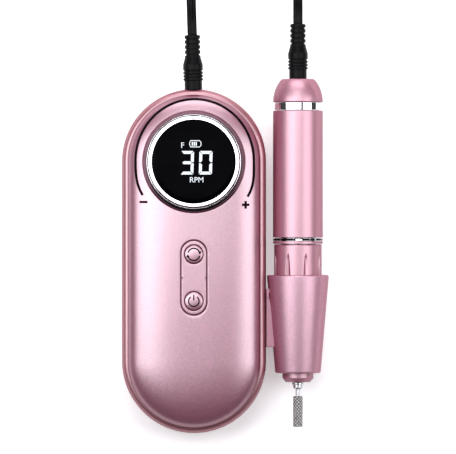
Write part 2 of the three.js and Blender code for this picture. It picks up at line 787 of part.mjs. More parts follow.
function bitHead() {
  const edge = 0.3;
  const profile = [[0, bitLow], [bitHeadRadius - edge, bitLow], [bitHeadRadius, bitLow + edge]];
  profile.push([bitHeadRadius, bitHeadTop - edge], [bitHeadRadius - edge, bitHeadTop], [0, bitHeadTop]);
  return turnedY(profile, 28);
}

// ---------- Plugs and cord ----------
// A moulded plug from its front face at y = 0: grip, collar of ribs, shoulder and strain relief.
function plugBody() {
  const [gripEnd, ribsEnd, shoulderEnd] = [4.7, 12.8, 17];
  const edge = 0.8;
  const profile = [[0, 0], [plugRadius, 0], [plugRadius, gripEnd], [plugRibRadius, gripEnd + 0.2]];
  profile.push([plugRibRadius, ribsEnd], [reliefRadius, shoulderEnd], [reliefRadius, plugLength - edge]);
  profile.push([reliefRadius - edge, plugLength], [0, plugLength]);
  return turnedY(profile, 20);
}

function plugBarrel() {
  return turnedY(tube(1.1, plugBarrelRadius, -gap - plugBarrelLength, -gap), 20);
}

// The cord's middle line from the plug at the box to the coil, and from the plug at the handpiece to
// the coil's upper layer. Both are drawn for the usual sizes.
const boxLead = [
  [-0.9, 113.5, 16.85], [-1.1, 119, 16.75], [-1.25, 124, 16], [-1.4, 129, 14.1], [-1.6, 134, 11.4],
  [-2.4, 140, 8], [-4.7, 146, 5.3], [-8.5, 151, 3.6], [-12, 153.8, 3], [-15.4, 155.7, 3],
];
const penLead = [
  [52, 119.1, 16.85], [52, 124.5, 16.7], [52, 129.5, 15.6], [52, 134.5, 13.1], [52, 140, 10.2],
  [51.9, 145.5, 7.3], [51.4, 151.5, 4.6], [50.2, 159.5, 2.4], [47.6, 169, 1.5], [43.4, 178.8, 1.35],
  [38, 188, 1.35], [31.5, 196.2, 1.35], [24, 203.2, 1.35], [16, 208.9, 1.5], [8, 213.4, 2.2],
  [0, 216.8, 3.8], [-5, 218.6, 5.1], [-9.5, 219.9, 6.5],
];

const plugReach = plugLength + cordFromPlug;
const boxLeadStart = new THREE.Vector3(
  boxPlugX - plugReach * Math.sin(plugLean), plugFace + plugReach * Math.cos(plugLean), penZ,
);
const penLeadStart = new THREE.Vector3(penX, penY + tailTop + plugReach, penZ);
const boxLeadEnd = new THREE.Vector3(coilX + 12.6, coilY - 33.9, 3); // under the coil's near side
const penLeadEnd = new THREE.Vector3(coilX + 18.5, coilY + 30.3, 6.5); // on the coil's far side

// A lead stretched evenly so that it starts and ends where its plug and the coil now are.
function stretched(lead, start, end) {
  const points = lead.map(([x, y, z]) => new THREE.Vector3(x, y, z));
  const startShift = start.clone().sub(points[0]);
  const endShift = end.clone().sub(points[points.length - 1]);
  return points.map((point, index) => {
    const share = index / (points.length - 1);
    return point.addScaledVector(startShift, 1 - share).addScaledVector(endShift, share);
  });
}

// A flat cord's solid along a lead: eight-sided, laid on its wide side.
function leadTube(points, steps) {
  const path = new THREE.CatmullRomCurve3(points);
  const upright = Math.abs(path.computeFrenetFrames(steps, false).normals[0].z) > Math.SQRT1_2;
  const [across, along] = upright ? [cordThickness, cordWidth] : [cordWidth, cordThickness];
  const section = new THREE.Shape();
  section.absellipse(0, 0, across / 2, along / 2, 0, 2 * Math.PI);
  return solidOf(new THREE.ExtrudeGeometry(section, { steps, extrudePath: path, curveSegments: 4 }));
}

// The coil stands on its strap, two cord widths high.
const coilLow = strapThickness + 0.2;
const coilHigh = coilLow + 2 * cordWidth + 0.1;
const coilInner = coilRadius - turnPitch * turnsPerLayer - cordThickness / 2;
const coilOuter = coilRadius + cordThickness / 2;
function cordCoil() {
  return turnedZ(tube(coilInner, coilOuter, coilLow, coilHigh), coilX, coilY, 48);
}

function cordTie() {
  const clear = 0.1;
  const low = clear;
  const high = coilHigh + clear + strapThickness;
  const half = strapWidth / 2;
  const inner = Math.sqrt(coilInner ** 2 - half ** 2) - clear; // the coil curves away across the strap
  const outer = coilOuter + clear;
  const frame = block(-outer - strapThickness, strapThickness - inner, -half, half, low, high);
  const inside = block(-outer, -inner, -half - 1, half + 1, coilLow - clear, coilHigh + clear);
  return frame.subtract(inside).translate([coilX, coilY, 0]);
}

// ---------- Assembly ----------
function named(name, solid, material, x = 0, y = 0, z = 0) {
  const mesh = new THREE.Mesh(geometryOf(solid), material());
  mesh.name = name;
  mesh.position.set(x, y, z);
  return mesh;
}

function place(...meshes) {
  const group = new THREE.Group();
  group.add(...meshes);
  return group;
}

const housings = place(
  named("front_shell", frontShell(), pinkMetallic),
  named("side_band", sideBand(), pinkBand),
  named("rear_shell", rearShell(), pinkBand),
  named("button_panel", buttonPanel(), pinkMetallic),
  named("holder_cup", holderCup(), pinkMetallic, penX, penY, penZ),
);
fourWays.forEach(([sideX, sideY], index) => {
  housings.add(named(`case_screw_${index + 1}`, caseScrew(), steel, sideX * screwX, sideY * screwY));
  housings.add(named(`foot_${index + 1}`, foot(), blackRubber, sideX * footX, sideY * footY));
});

const insides = place(
  named("main_board", mainBoard(), boardGreen),
  named("direction_switch", tactSwitch(), blackPlastic, 0, directionY),
  named("power_switch", tactSwitch(), blackPlastic, 0, powerY),
  named("battery_cell_left", batteryCell(), cellWrap, -cellX, 0, cellZ),
  named("battery_cell_right", batteryCell(), cellWrap, cellX, 0, cellZ),
  named("battery_cradle", batteryCradle(), whitePlastic),
  named("output_jack", outputJack(), blackPlastic),
  named("charge_jack", chargeJack(), steel),
  named("encoder_body", encoderBody(), blackPlastic, 0, pinionY),
  named("display_tower", displayTower(), blackPlastic),
  named("display_module", displayModule(), whitePlastic),
  named("display_lens", displayLens(), blackGlass),
);

const controls = place(
  named("speed_knob", speedKnob(), chrome, 0, knobY),
  named("knob_gear", knobGear(), whitePlastic, 0, knobY),
  named("encoder_pinion", encoderPinion(), whitePlastic, 0, pinionY),
  named("direction_button", button(), pinkMetallic, 0, directionY),
  named("power_button", button(), pinkMetallic, 0, powerY),
);

const handpiece = place(
  named("tail_cap", tailCap(), pinkMetallic),
  named("tail_ring", tailRing(), chrome),
  named("handpiece_jack", handpieceJack(), blackPlastic),
  named("barrel", barrel(), pinkMetallic),
  named("motor_can", motorCan(), steel),
  named("motor_end_bell", motorEndBell(), whitePlastic),
  named("collar_ring", collarRing(), chrome),
  named("collar_flange", collarFlange(), pinkMetallic),
  named("spindle_housing", spindleHousing(), steel),
  named("rear_bearing", bearing(housingHigh - 4 - bearingLength), steel),
  named("front_bearing", bearing(housingLow + 1), steel),
  named("nose_tip", noseTip(), pinkMetallic),
  named("twist_sleeve", twistSleeve(), pinkMetallic),
  named("cam_ring", camRing(), brass),
  named("motor_shaft", motorShaft(), steel),
  named("drive_coupling", driveCoupling(), brass),
  named("spindle", spindle(), steel),
  named("collet", collet(), steel),
  named("collet_spring", colletSpring(), steel),
  named("bit_shank", bitShank(), steel),
  named("bit_head", bitHead(), abrasive),
);
handpiece.position.set(penX, penY, penZ);

const penPlug = place(
  named("plug_handpiece", plugBody(), blackRubber),
  named("plug_handpiece_barrel", plugBarrel(), brass),
);
penPlug.position.set(penX, penY + tailTop, penZ);

const boxPlug = place(
  named("plug_main", plugBody(), blackRubber),
  named("plug_main_barrel", plugBarrel(), brass),
);
boxPlug.position.set(boxPlugX, plugFace, penZ);
boxPlug.rotation.z = plugLean;

const cord = place(
  named("cord_tube_main", leadTube(stretched(boxLead, boxLeadStart, boxLeadEnd), 12), blackRubber),
  named("cord_tube_handpiece", leadTube(stretched(penLead, penLeadStart, penLeadEnd), 24), blackRubber),
  named("cord_coil", cordCoil(), blackRubber),
  named("cord_tie", cordTie(), blackRubber),
);

const drill = place(housings, insides, controls, handpiece, penPlug, boxPlug, cord);
drill.position.set(-originX, -originY, 0);
const group = place(drill);
export default group;
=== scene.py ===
"""Looks of the portable electric nail drill.

Points are worked out in the box's own millimetres (x across, y along, z up from the floor, 0,0 under the
middle of the box) and turned into the row frame's metres by metres().

How the main surfaces are made:
- The front cover is a dome: a superellipse over the pill distance, which is how far a point is from the
  line between the two end centres. It is drawn in three grids that share their edges: a rim, and two fields
  that run from the rim to the knob's round recess and to the button panel's seat.
- Band and rear shell are profiles of (pill distance, height) carried round the pill outline. The button
  panel is two grids, one round each button's hole.
- Knob, lens, buttons and all of the handpiece are profiles of (radius, height) turned about their axes. The
  sleeve's flutes push its radius in, most on each flute's middle line; the bit's grooves do so where one of
  two crossing cosine waves is near its peak. The collar's dark inlays are short bands of a cylinder.
- The cord is a section of two round lobes carried along its path and turned by a twist angle.
"""
import json
from math import acos, cos, pi, radians, sin, sqrt, tan

import bmesh
import bpy
import numpy as np
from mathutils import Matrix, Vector


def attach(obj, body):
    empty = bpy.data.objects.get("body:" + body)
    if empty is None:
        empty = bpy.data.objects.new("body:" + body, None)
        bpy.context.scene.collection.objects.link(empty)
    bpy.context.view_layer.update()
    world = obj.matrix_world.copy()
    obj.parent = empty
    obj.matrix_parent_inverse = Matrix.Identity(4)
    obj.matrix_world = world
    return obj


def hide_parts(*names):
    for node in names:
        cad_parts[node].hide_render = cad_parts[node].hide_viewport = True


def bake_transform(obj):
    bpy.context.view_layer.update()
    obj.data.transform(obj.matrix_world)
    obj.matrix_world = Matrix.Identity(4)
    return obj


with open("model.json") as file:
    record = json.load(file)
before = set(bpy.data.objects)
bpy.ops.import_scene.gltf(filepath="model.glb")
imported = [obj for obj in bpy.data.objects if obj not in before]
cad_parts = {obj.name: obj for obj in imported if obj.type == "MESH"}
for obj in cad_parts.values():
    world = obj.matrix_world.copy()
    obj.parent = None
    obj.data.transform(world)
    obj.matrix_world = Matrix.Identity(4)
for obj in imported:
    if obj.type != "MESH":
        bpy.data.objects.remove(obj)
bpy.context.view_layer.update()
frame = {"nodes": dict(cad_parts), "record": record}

MM = 0.001
ORIGIN = np.array([15.775, 2.55, 0.0])

# Box
HALF_WIDTH = 36.0
END_Y = 50.0
REAR_LOW, REAR_TOP = 1.2, 12.0
BAND_LOW, BAND_TOP = 12.2, 21.5
COVER_LOW, COVER_RISE, COVER_HALF = 21.7, 10.5, 33.2
DOME_POWER = 2.7
KNOB_Y = 49.5
RECESS_FLOOR = 29.7
PANEL_Y = -8.2
BUTTON_YS = (3.45, -19.85)
PANEL_TOP = 32.42
CAP_RADIUS, CAP_LOW, CAP_TOP = 4.5, 32.55, 33.3
LENS_TOP = 37.42
# Handpiece
PEN_X, PEN_Z = 52.0, 16.85
PEN_RADIUS = 12.5


def metres(points):
    return (np.asarray(points, float) - ORIGIN) * MM


def stacked(*axes):
    """Points from their coordinates, each an array or one number for all."""
    return np.stack(np.broadcast_arrays(*axes), axis=-1)


def normed(rows):
    """Each row at length 1."""
    return rows / np.maximum(np.linalg.norm(rows, axis=-1, keepdims=True), 1e-9)


def circle(count):
    """Evenly spaced turns, once round."""
    return np.linspace(0, 2 * np.pi, count, endpoint=False)


def placed(name, data, material=None):
    """A new object in the scene, with its material if it has one."""
    made = bpy.data.objects.new(name, data)
    if material:
        data.materials.append(material)
    bpy.context.scene.collection.objects.link(made)
    return made


# ---------- Camera ----------
# The picture is VIEW_WIDE across at the height MEASURED_AT (metres).
VIEW_X, VIEW_Y, VIEW_WIDE = 17.0, 17.05, 228.0
CAMERA_HIGH, MEASURED_AT, SENSOR = 2.4, 0.02, 36.0
camera = placed("camera", bpy.data.cameras.new("camera"))
camera.data.sensor_width = SENSOR
camera.data.lens = SENSOR * (CAMERA_HIGH - MEASURED_AT) / (VIEW_WIDE * MM)
camera.data.clip_end = 20.0
camera.location = [*metres([VIEW_X, VIEW_Y, 0])[:2], CAMERA_HIGH]
bpy.context.scene.camera = camera


# ---------- Meshes from arrays ----------
def grid_faces(rows, columns, close=True, first=0):
    """Quads of a grid of points stored row by row; close joins the last column to the first."""
    across = np.arange(columns if close else columns - 1)
    up = np.arange(rows - 1)[:, None]
    a = up * columns + across
    b = up * columns + (across + 1) % columns
    return stacked(a, b, b + columns, a + columns).reshape(-1, 4) + first


def piece(name, points, faces, material, merge=False, flat=False):
    """A mesh object from box millimetres and polygons that all have the same number of corners."""
    points = metres(points).reshape(-1, 3)
    faces = np.asarray(faces)
    mesh = bpy.data.meshes.new(name)
    mesh.vertices.add(len(points))
    mesh.vertices.foreach_set("co", points.ravel())
    mesh.loops.add(faces.size)
    mesh.loops.foreach_set("vertex_index", faces.ravel())
    mesh.polygons.add(len(faces))
    mesh.polygons.foreach_set("loop_start", np.arange(len(faces)) * faces.shape[1])
    mesh.update(calc_edges=True)
    mesh.validate()
    if merge:
        bm = bmesh.new()
        bm.from_mesh(mesh)
        bmesh.ops.remove_doubles(bm, verts=bm.verts, dist=2e-6)
        bm.to_mesh(mesh)
        bm.free()
    mesh.polygons.foreach_set("use_smooth", np.full(len(mesh.polygons), not flat))
    return placed(name, mesh, material)


def points_of(mesh):
    """The mesh's points as an array, in metres."""
    co = np.empty(3 * len(mesh.vertices))
    mesh.vertices.foreach_get("co", co)
    return co.reshape(-1, 3)


def move_points(mesh, points):
    mesh.vertices.foreach_set("co", np.ravel(points))
    mesh.update()


def lifted(flat, height):
    """Flat (x, y) points given a height: one for all of them, or one each."""
    height = np.broadcast_to(height, flat.shape[:-1])
    return np.concatenate([flat, height[..., None]], axis=-1)


def on_body(obj, body, slot, *replaced):
    """The piece rides a body and may stand for CAD nodes; its slot argument is not used."""
    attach(obj, body)
    if replaced:
        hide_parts(*replaced)
    return obj


def eased(corners, steps=5):
    """A profile from (a, b, radius) corners: each corner becomes an arc of its radius, with a support point
    on each side so that flat stretches shade flat."""
    out = []
    last = len(corners) - 1
    for i, (a, b, radius) in enumerate(corners):
        here = np.array([a, b], float)
        if radius <= 0 or i in (0, last):
            out.append(here)
            continue
        before = np.array(corners[i - 1][:2], float) - here
        after = np.array(corners[i + 1][:2], float) - here
        room = 0.49 * min(np.linalg.norm(before), np.linalg.norm(after))
        before /= np.linalg.norm(before)
        after /= np.linalg.norm(after)
        half = 0.5 * acos(np.clip(before @ after, -1, 1))
        if abs(half - pi / 2) < 1e-3:
            out.append(here)
            continue
        reach = min(radius / tan(half), room)
        radius = reach * tan(half)
        middle = (before + after) / np.linalg.norm(before + after) * radius / sin(half) + here
        start, end = here + before * reach, here + after * reach
        support = min(0.25 * reach + 0.04, room - reach)
        if support > 0.005:
            out.append(start + before * support)
        u, v = start - middle, end - middle
        turn = pi - 2 * half
        for k in range(steps + 1):
            share = k / steps
            arc = u * sin((1 - share) * turn) + v * sin(share * turn)
            out.append(middle + arc / sin(turn))
        if support > 0.005:
            out.append(end + after * support)
    return np.array(out)


def ring_profile(corners, steps):
    """An eased profile that ends where it starts."""
    return eased([*corners, corners[0]], steps)


def turned(name, profile, material, axis, x=0.0, y=0.0, z=0.0, segments=128):
    """A profile of (radius, along) turned about the Y or Z axis through a place."""
    turn = circle(segments)
    radius, along = profile[:, 0][:, None], profile[:, 1][:, None] + 0 * turn
    across, up = radius * np.cos(turn), radius * np.sin(turn)
    if axis == "Y":
        points = stacked(x + across, y + along, z - up)
    else:
        points = stacked(x + across, y + up, z + along)
    return piece(name, points, grid_faces(len(profile), segments), material, merge=True)


# ---------- The pill outline ----------
def pill_stations(extra=()):
    """Stations round the pill, anticlockwise from (+, -END): (centre y, across, along) for each. extra are
    further y values on the right-hand straight side."""
    straight, arc = 70, 72
    right = np.unique(np.concatenate([np.linspace(-END_Y, END_Y, straight), np.array(extra, float)]))
    top = np.linspace(0, np.pi, arc)[1:]
    left = np.linspace(END_Y, -END_Y, straight)[1:]
    bottom = np.linspace(np.pi, 2 * np.pi, arc)[1:-1]
    centre = np.concatenate([right, np.full(len(top), END_Y), left, np.full(len(bottom), -END_Y)])
    across = np.concatenate([np.ones(len(right)), np.cos(top), -np.ones(len(left)), np.cos(bottom)])
    along = np.concatenate([np.zeros(len(right)), np.sin(top), np.zeros(len(left)), np.sin(bottom)])
    return stacked(centre, across, along)


def pill_points(stations, profile):
    """(rows, stations, 3) points of a profile of (pill distance, z) carried round the outline."""
    radius, height = profile[:, 0][:, None], profile[:, 1][:, None]
    x = radius * stations[:, 1]
    y = stations[:, 0] + radius * stations[:, 2]
    return stacked(x, y, height + 0 * x)


def pill_distance(x, y):
    return np.hypot(x, np.maximum(np.abs(y) - END_Y, 0))


def dome(x, y):
    share = np.clip(pill_distance(x, y) / COVER_HALF, 0, 1)
    return COVER_LOW + COVER_RISE * (1 - share**DOME_POWER) ** (1 / DOME_POWER)


# ---------- Node groups shared by the materials ----------
def new_group(name, inputs, outputs):
    """A node group with a Vector input, number inputs with their defaults, and outputs with their kinds."""
    group = bpy.data.node_groups.new(name, "ShaderNodeTree")
    group.interface.new_socket(name="Vector", in_out="INPUT", socket_type="NodeSocketVector")
    for label, value in inputs.items():
        made = group.interface.new_socket(name=label, in_out="INPUT", socket_type="NodeSocketFloat")
        made.default_value = value
    for label, kind in outputs.items():
        group.interface.new_socket(name=label, in_out="OUTPUT", socket_type="NodeSocket" + kind)
    return group, group.nodes.new("NodeGroupInput").outputs, group.nodes.new("NodeGroupOutput").inputs


def wire(tree, *pairs):
    for a, b in pairs:
        tree.links.new(a, b)


def set_inputs(sockets, **values):
    """Sets plain values by the sockets' names, with underscores for spaces."""
    for label, value in values.items():
        sockets[label.replace("_", " ")].default_value = value


def add(tree, kind, operation=None, **values):
    """A shader node with its operation and plain inputs."""
    node = tree.nodes.new("ShaderNode" + kind)
    if operation:
        node.operation = operation
    set_inputs(node.inputs, **values)
    return node


def feed(tree, value, socket):
    """Sets a plain value on a socket, or links another socket to it."""
    if isinstance(value, (int, float, tuple)):
        socket.default_value = value
    else:
        tree.links.new(value, socket)


def math_node(tree, operation, a, b, clamp=False):
    node = add(tree, "Math", operation)
    node.use_clamp = clamp
    feed(tree, a, node.inputs[0])
    feed(tree, b, node.inputs[1])
    return node.outputs[0]


def flake_group():
    """Metal flakes: small cells, each with its own tilt and brightness, under a slow drift of tone."""
    group, given, result = new_group("metal_flakes", {"Cells": 1800.0, "Tilt": 0.25, "Spark": 0.3},
                                     {"Normal": "Vector", "Tone": "Float", "Drift": "Float"})
    cells = add(group, "TexVoronoi")
    centred = add(group, "VectorMath", "SUBTRACT")
    centred.inputs[1].default_value = (0.5, 0.5, 0.5)
    tilt = add(group, "VectorMath", "SCALE")
    face = add(group, "NewGeometry")
    total = add(group, "VectorMath", "ADD")
    unit = add(group, "VectorMath", "NORMALIZE")
    parts = add(group, "SeparateColor")
    drift = add(group, "TexNoise", Scale=18.0, Detail=2.0)
    wire(
        group,
        (given["Vector"], cells.inputs["Vector"]), (given["Cells"], cells.inputs["Scale"]),
        (cells.outputs["Color"], centred.inputs[0]), (centred.outputs[0], tilt.inputs[0]),
        (given["Tilt"], tilt.inputs["Scale"]), (tilt.outputs[0], total.inputs[0]),
        (face.outputs["Normal"], total.inputs[1]), (total.outputs[0], unit.inputs[0]),
        (unit.outputs[0], result["Normal"]), (cells.outputs["Color"], parts.inputs[0]),
        (given["Vector"], drift.inputs["Vector"]), (drift.outputs["Fac"], result["Drift"]),
    )
    spread = math_node(group, "MULTIPLY", parts.outputs[1], given["Spark"])
    half = math_node(group, "MULTIPLY", given["Spark"], 0.5)
    tone = math_node(group, "ADD", math_node(group, "SUBTRACT", spread, half), 1.0)
    group.links.new(tone, result["Tone"])
    return group


def wear_group():
    """Fine handling marks: a smudge mask from slow noise and hairlines from stretched noise."""
    group, given, result = new_group("handling_marks", {"Size": 60.0},
                                     {"Smudge": "Float", "Hairline": "Float"})
    slow = add(group, "TexNoise", Detail=4.0)
    ramp = add(group, "MapRange", From_Min=0.42, From_Max=0.72)
    stretch = add(group, "VectorMath", "MULTIPLY")
    stretch.inputs[1].default_value = (40.0, 900.0, 400.0)
    lines = add(group, "TexNoise", Scale=1.0, Detail=3.0)
    wire(
        group,
        (given["Vector"], slow.inputs["Vector"]), (given["Size"], slow.inputs["Scale"]),
        (slow.outputs["Fac"], ramp.inputs["Value"]), (ramp.outputs[0], result["Smudge"]),
        (given["Vector"], stretch.inputs[0]), (stretch.outputs[0], lines.inputs["Vector"]),
        (lines.outputs["Fac"], result["Hairline"]),
    )
    return group


FLAKES = flake_group()
MARKS = wear_group()


# ---------- Materials ----------
def linear(values):
    """sRGB bytes as linear colour."""
    share = np.array(values, float) / 255
    made = np.where(share <= 0.04045, share / 12.92, ((share + 0.055) / 1.055) ** 2.4)
    return (*made.tolist(), 1.0)


def material_base(name):
    made = bpy.data.materials.new(name)
    made.use_nodes = True
    tree = made.node_tree
    return made, tree, tree.nodes["Principled BSDF"].inputs, add(tree, "TexCoord").outputs["Object"]


def use_group(tree, group, vector, **values):
    node = tree.nodes.new("ShaderNodeGroup")
    node.node_tree = group
    tree.links.new(vector, node.inputs["Vector"])
    set_inputs(node.inputs, **values)
    return node


def mixed(tree, factor, a, b):
    """A colour mix whose ends are colours or sockets."""
    node = add(tree, "Mix")
    node.data_type = "RGBA"
    for socket, value in ((node.inputs["Factor"], factor), (node.inputs[6], a), (node.inputs[7], b)):
        feed(tree, value, socket)
    return node.outputs[2]


def ranged(tree, value, low, high):
    node = add(tree, "MapRange", To_Min=low, To_Max=high)
    tree.links.new(value, node.inputs["Value"])
    return node.outputs[0]


def pink_paint(name, face, edge, rough, tilt, spark, cells=1500.0, coat_rough=0.36, coat_ior=2.7):
    """Satin metallic paint under a pearly coat: the colour turns from face to edge and the coat thins as
    the surface turns away; flakes tilt the normal and vary the tone; smudges vary the roughness."""
    made, tree, put, place = material_base(name)
    face, edge = linear(face), linear(edge)
    flakes = use_group(tree, FLAKES, place, Cells=cells, Tilt=tilt, Spark=spark)
    marks = use_group(tree, MARKS, place, Size=35.0)
    facing = add(tree, "LayerWeight", Blend=0.35).outputs["Facing"]
    tone = mixed(tree, facing, face, edge)
    drifted = mixed(tree, ranged(tree, flakes.outputs["Drift"], 0.0, 0.12), tone, edge)
    spread = add(tree, "VectorMath", "SCALE")
    turned_away = math_node(tree, "MULTIPLY", facing, 1.9, clamp=True)
    wire(tree, (drifted, spread.inputs[0]), (flakes.outputs["Tone"], spread.inputs["Scale"]),
         (spread.outputs[0], put["Base Color"]),
         (flakes.outputs["Normal"], put["Normal"]),
         (ranged(tree, marks.outputs["Smudge"], rough, rough + 0.04), put["Roughness"]),
         (ranged(tree, turned_away, 1.0, 0.0), put["Coat Weight"]))
    set_inputs(put, Metallic=0.4, Coat_IOR=coat_ior, Coat_Roughness=coat_rough)
    return made


def plain(name, base, second, rough, metallic, size, rough_spread, bump=0.0, specular=0.5):
    """A finish whose colour and roughness drift over fine noise, with a slight grain in its surface."""
    made, tree, put, place = material_base(name)
    marks = use_group(tree, MARKS, place, Size=size)
    grain = marks.outputs["Hairline"]
    colour = mixed(tree, marks.outputs["Smudge"], linear(base), linear(second))
    wire(tree, (colour, put["Base Color"]),
         (ranged(tree, grain, rough, rough + rough_spread), put["Roughness"]))
    set_inputs(put, Metallic=metallic, Specular_IOR_Level=specular)
    if bump:
        node = add(tree, "Bump", Strength=bump, Distance=0.0001)
        wire(tree, (grain, node.inputs["Height"]), (node.outputs[0], put["Normal"]))
    return made


def glowing(name, colour, second, strength):
    """Lit display parts: the glow falls off a little across each piece."""
    made, tree, put, place = material_base(name)
    marks = use_group(tree, MARKS, place, Size=300.0)
    share = ranged(tree, marks.outputs["Smudge"], 0.0, 0.5)
    tree.links.new(mixed(tree, share, linear(colour), linear(second)), put["Emission Color"])
    set_inputs(put, Emission_Strength=strength, Base_Color=(0.1, 0.1, 0.1, 1))
    return made


def diamond_grit():
    """Diamond coating: bright grit, darkened in the grooves as painted shade by the piece's groove attribute."""
    made, tree, put, place = material_base("diamond_grit")
    grit = add(tree, "TexVoronoi", Scale=3200.0)
    groove = add(tree, "Attribute")
    groove.attribute_name = "groove"
    grain = grit.outputs["Distance"]
    speckle = mixed(tree, grain, linear((255, 254, 252)), linear((120, 118, 116)))
    # Painted shade: the colour turns dark where the groove attribute says a point lies deep in a groove.
    colour = mixed(tree, groove.outputs["Fac"], speckle, linear((84, 82, 80)))
    bump = add(tree, "Bump", Strength=0.6, Distance=0.0002)
    wire(tree, (place, grit.inputs["Vector"]), (colour, put["Base Color"]),
         (grain, bump.inputs["Height"]), (bump.outputs[0], put["Normal"]),
         (ranged(tree, grain, 0.3, 0.55), put["Roughness"]))
    set_inputs(put, Metallic=0.7)
    return made


# Paints: face and edge colour, roughness, flake tilt, flake spark, flake cells
SHELL = pink_paint("paint_shell", (160, 87, 113), (92, 24, 36), 0.34, 0.16, 0.3, 2600.0, coat_ior=3.1)
TRIM = pink_paint("paint_trim", (166, 94, 108), (112, 40, 52), 0.32, 0.03, 0.04, coat_ior=2.4)
HOLDER = pink_paint("paint_holder", (176, 104, 132), (124, 44, 62), 0.34, 0.14, 0.26, 2600.0, 0.46, 3.0)
BARREL = pink_paint("paint_barrel", (172, 94, 120), (108, 32, 48), 0.34, 0.08, 0.14, 3000.0, 0.44, 2.8)
LILAC = pink_paint("paint_bracket", (172, 110, 130), (120, 60, 78), 0.4, 0.1, 0.1, coat_ior=1.9)
# Other finishes: two colours, roughness, metallic, noise size, spread of the roughness, bump
CHROME = plain("chrome", (240, 240, 242), (230, 231, 234), 0.05, 1.0, 200.0, 0.04)
STEEL = plain("machined_steel", (205, 206, 208), (180, 182, 185), 0.2, 1.0, 300.0, 0.2, 0.15)
DARK_METAL = plain("dark_metal", (22, 20, 21), (14, 13, 14), 0.22, 1.0, 200.0, 0.1)
GLASS = plain("display_glass", (2, 2, 3), (4, 4, 6), 0.06, 0.0, 120.0, 0.04, specular=0.01)
RUBBER = plain("black_rubber", (10, 10, 11), (18, 18, 19), 0.3, 0.0, 600.0, 0.12, 0.1, specular=0.07)
CORD = plain("cord_sheath", (8, 8, 9), (15, 15, 16), 0.24, 0.0, 300.0, 0.1, 0.05, specular=0.07)
PRINT = plain("dark_print", (14, 6, 9), (24, 12, 16), 0.5, 0.0, 300.0, 0.2, specular=0.03)
GLOW = glowing("display_light", (240, 248, 255), (205, 228, 245), 1.05)
GRIT = diamond_grit()

# The finish of each slot on the CAD nodes that stay visible
NODE_FINISH = {
    "pink_shell": SHELL, "pink_trim": TRIM, "pink_holder": HOLDER, "pink_barrel": BARREL, "chrome": CHROME,
    "steel": STEEL, "abrasive": GRIT, "black_glass": GLASS, "black_rubber": RUBBER, "cord_black": CORD,
    "brass": plain("machined_brass", (214, 186, 110), (190, 158, 84), 0.22, 1.0, 300.0, 0.15, 0.1),
    "black_plastic": plain("black_plastic", (24, 24, 25), (36, 36, 38), 0.35, 0.0, 500.0, 0.2, 0.1),
    "white_plastic": plain("white_plastic", (232, 232, 228), (215, 215, 210), 0.4, 0.0, 300.0, 0.15, 0.05),
    "circuit_board": plain("solder_mask", (30, 98, 58), (22, 76, 44), 0.4, 0.0, 700.0, 0.2, 0.05),
    "cell_wrap": plain("cell_wrap", (42, 104, 172), (32, 86, 148), 0.3, 0.0, 200.0, 0.1, 0.05),
}
for part in frame["record"]["subparts"]:
    node = frame["nodes"][part["node"]]
    node.data.materials.clear()
    node.data.materials.append(NODE_FINISH[part["material_slot"]])


# ---------- Cord ----------
BOX_LEAD = [
    (-0.9, 113.5, 16.85), (-1.1, 119, 16.75), (-1.25, 124, 16), (-1.4, 129, 14.1), (-1.6, 134, 11.4),
    (-2.4, 140, 8), (-4.7, 146, 5.3), (-8.5, 151, 3.6), (-12, 153.8, 3), (-15.4, 155.7, 3),
]
PEN_LEAD = [
    (52, 119.1, 16.85), (52, 124.5, 16.7), (52, 129.5, 15.6), (52, 134.5, 13.1), (52, 140, 10.2),
    (51.9, 145.5, 7.3), (51.4, 151.5, 4.6), (50.2, 159.5, 2.4), (47.6, 169, 1.5), (43.4, 178.8, 1.35),
    (38, 188, 1.35), (31.5, 196.2, 1.35), (24, 203.2, 1.35), (16, 208.9, 1.5), (8, 213.4, 2.2),
    (0, 216.8, 3.8), (-5, 218.6, 5.1), (-9.5, 219.9, 6.5),
]
COIL_X, COIL_Y, COIL_RADIUS = -28.0, 189.6, 31.5
TURN_PITCH, LAYER_TURNS = 2.6, 2.77
LAYER_LOW, LAYER_HIGH = 3.6, 8.45
COIL_START, COIL_SWEEP = radians(-80), radians(1992)
LOBE = 1.2


def smooth_step(value):
    value = np.clip(value, 0, 1)
    return value * value * (3 - 2 * value)


def length_to(line):
    """The length along a line up to each of its points."""
    return np.concatenate([[0], np.cumsum(np.linalg.norm(np.diff(line, axis=0), axis=1))])


def through(points, spacing):
    """A smooth line through points (Catmull-Rom), resampled at an even spacing."""
    p = np.array(points, float)
    ends = np.vstack([2 * p[0] - p[1], p, 2 * p[-1] - p[-2]])
    t = np.linspace(0, 1, 24, endpoint=False)[:, None]
    line = []
    for a, b, c, d in zip(ends[:-3], ends[1:-2], ends[2:-1], ends[3:]):
        square, cube = 2 * a - 5 * b + 4 * c - d, 3 * b - a - 3 * c + d
        line.append(0.5 * (2 * b + (c - a) * t + square * t**2 + cube * t**3))
    line = np.vstack([*line, p[-1:]])
    gone = length_to(line)
    even = np.linspace(0, gone[-1], max(2, int(gone[-1] / spacing)))
    return np.stack([np.interp(even, gone, line[:, k]) for k in range(3)], axis=-1)


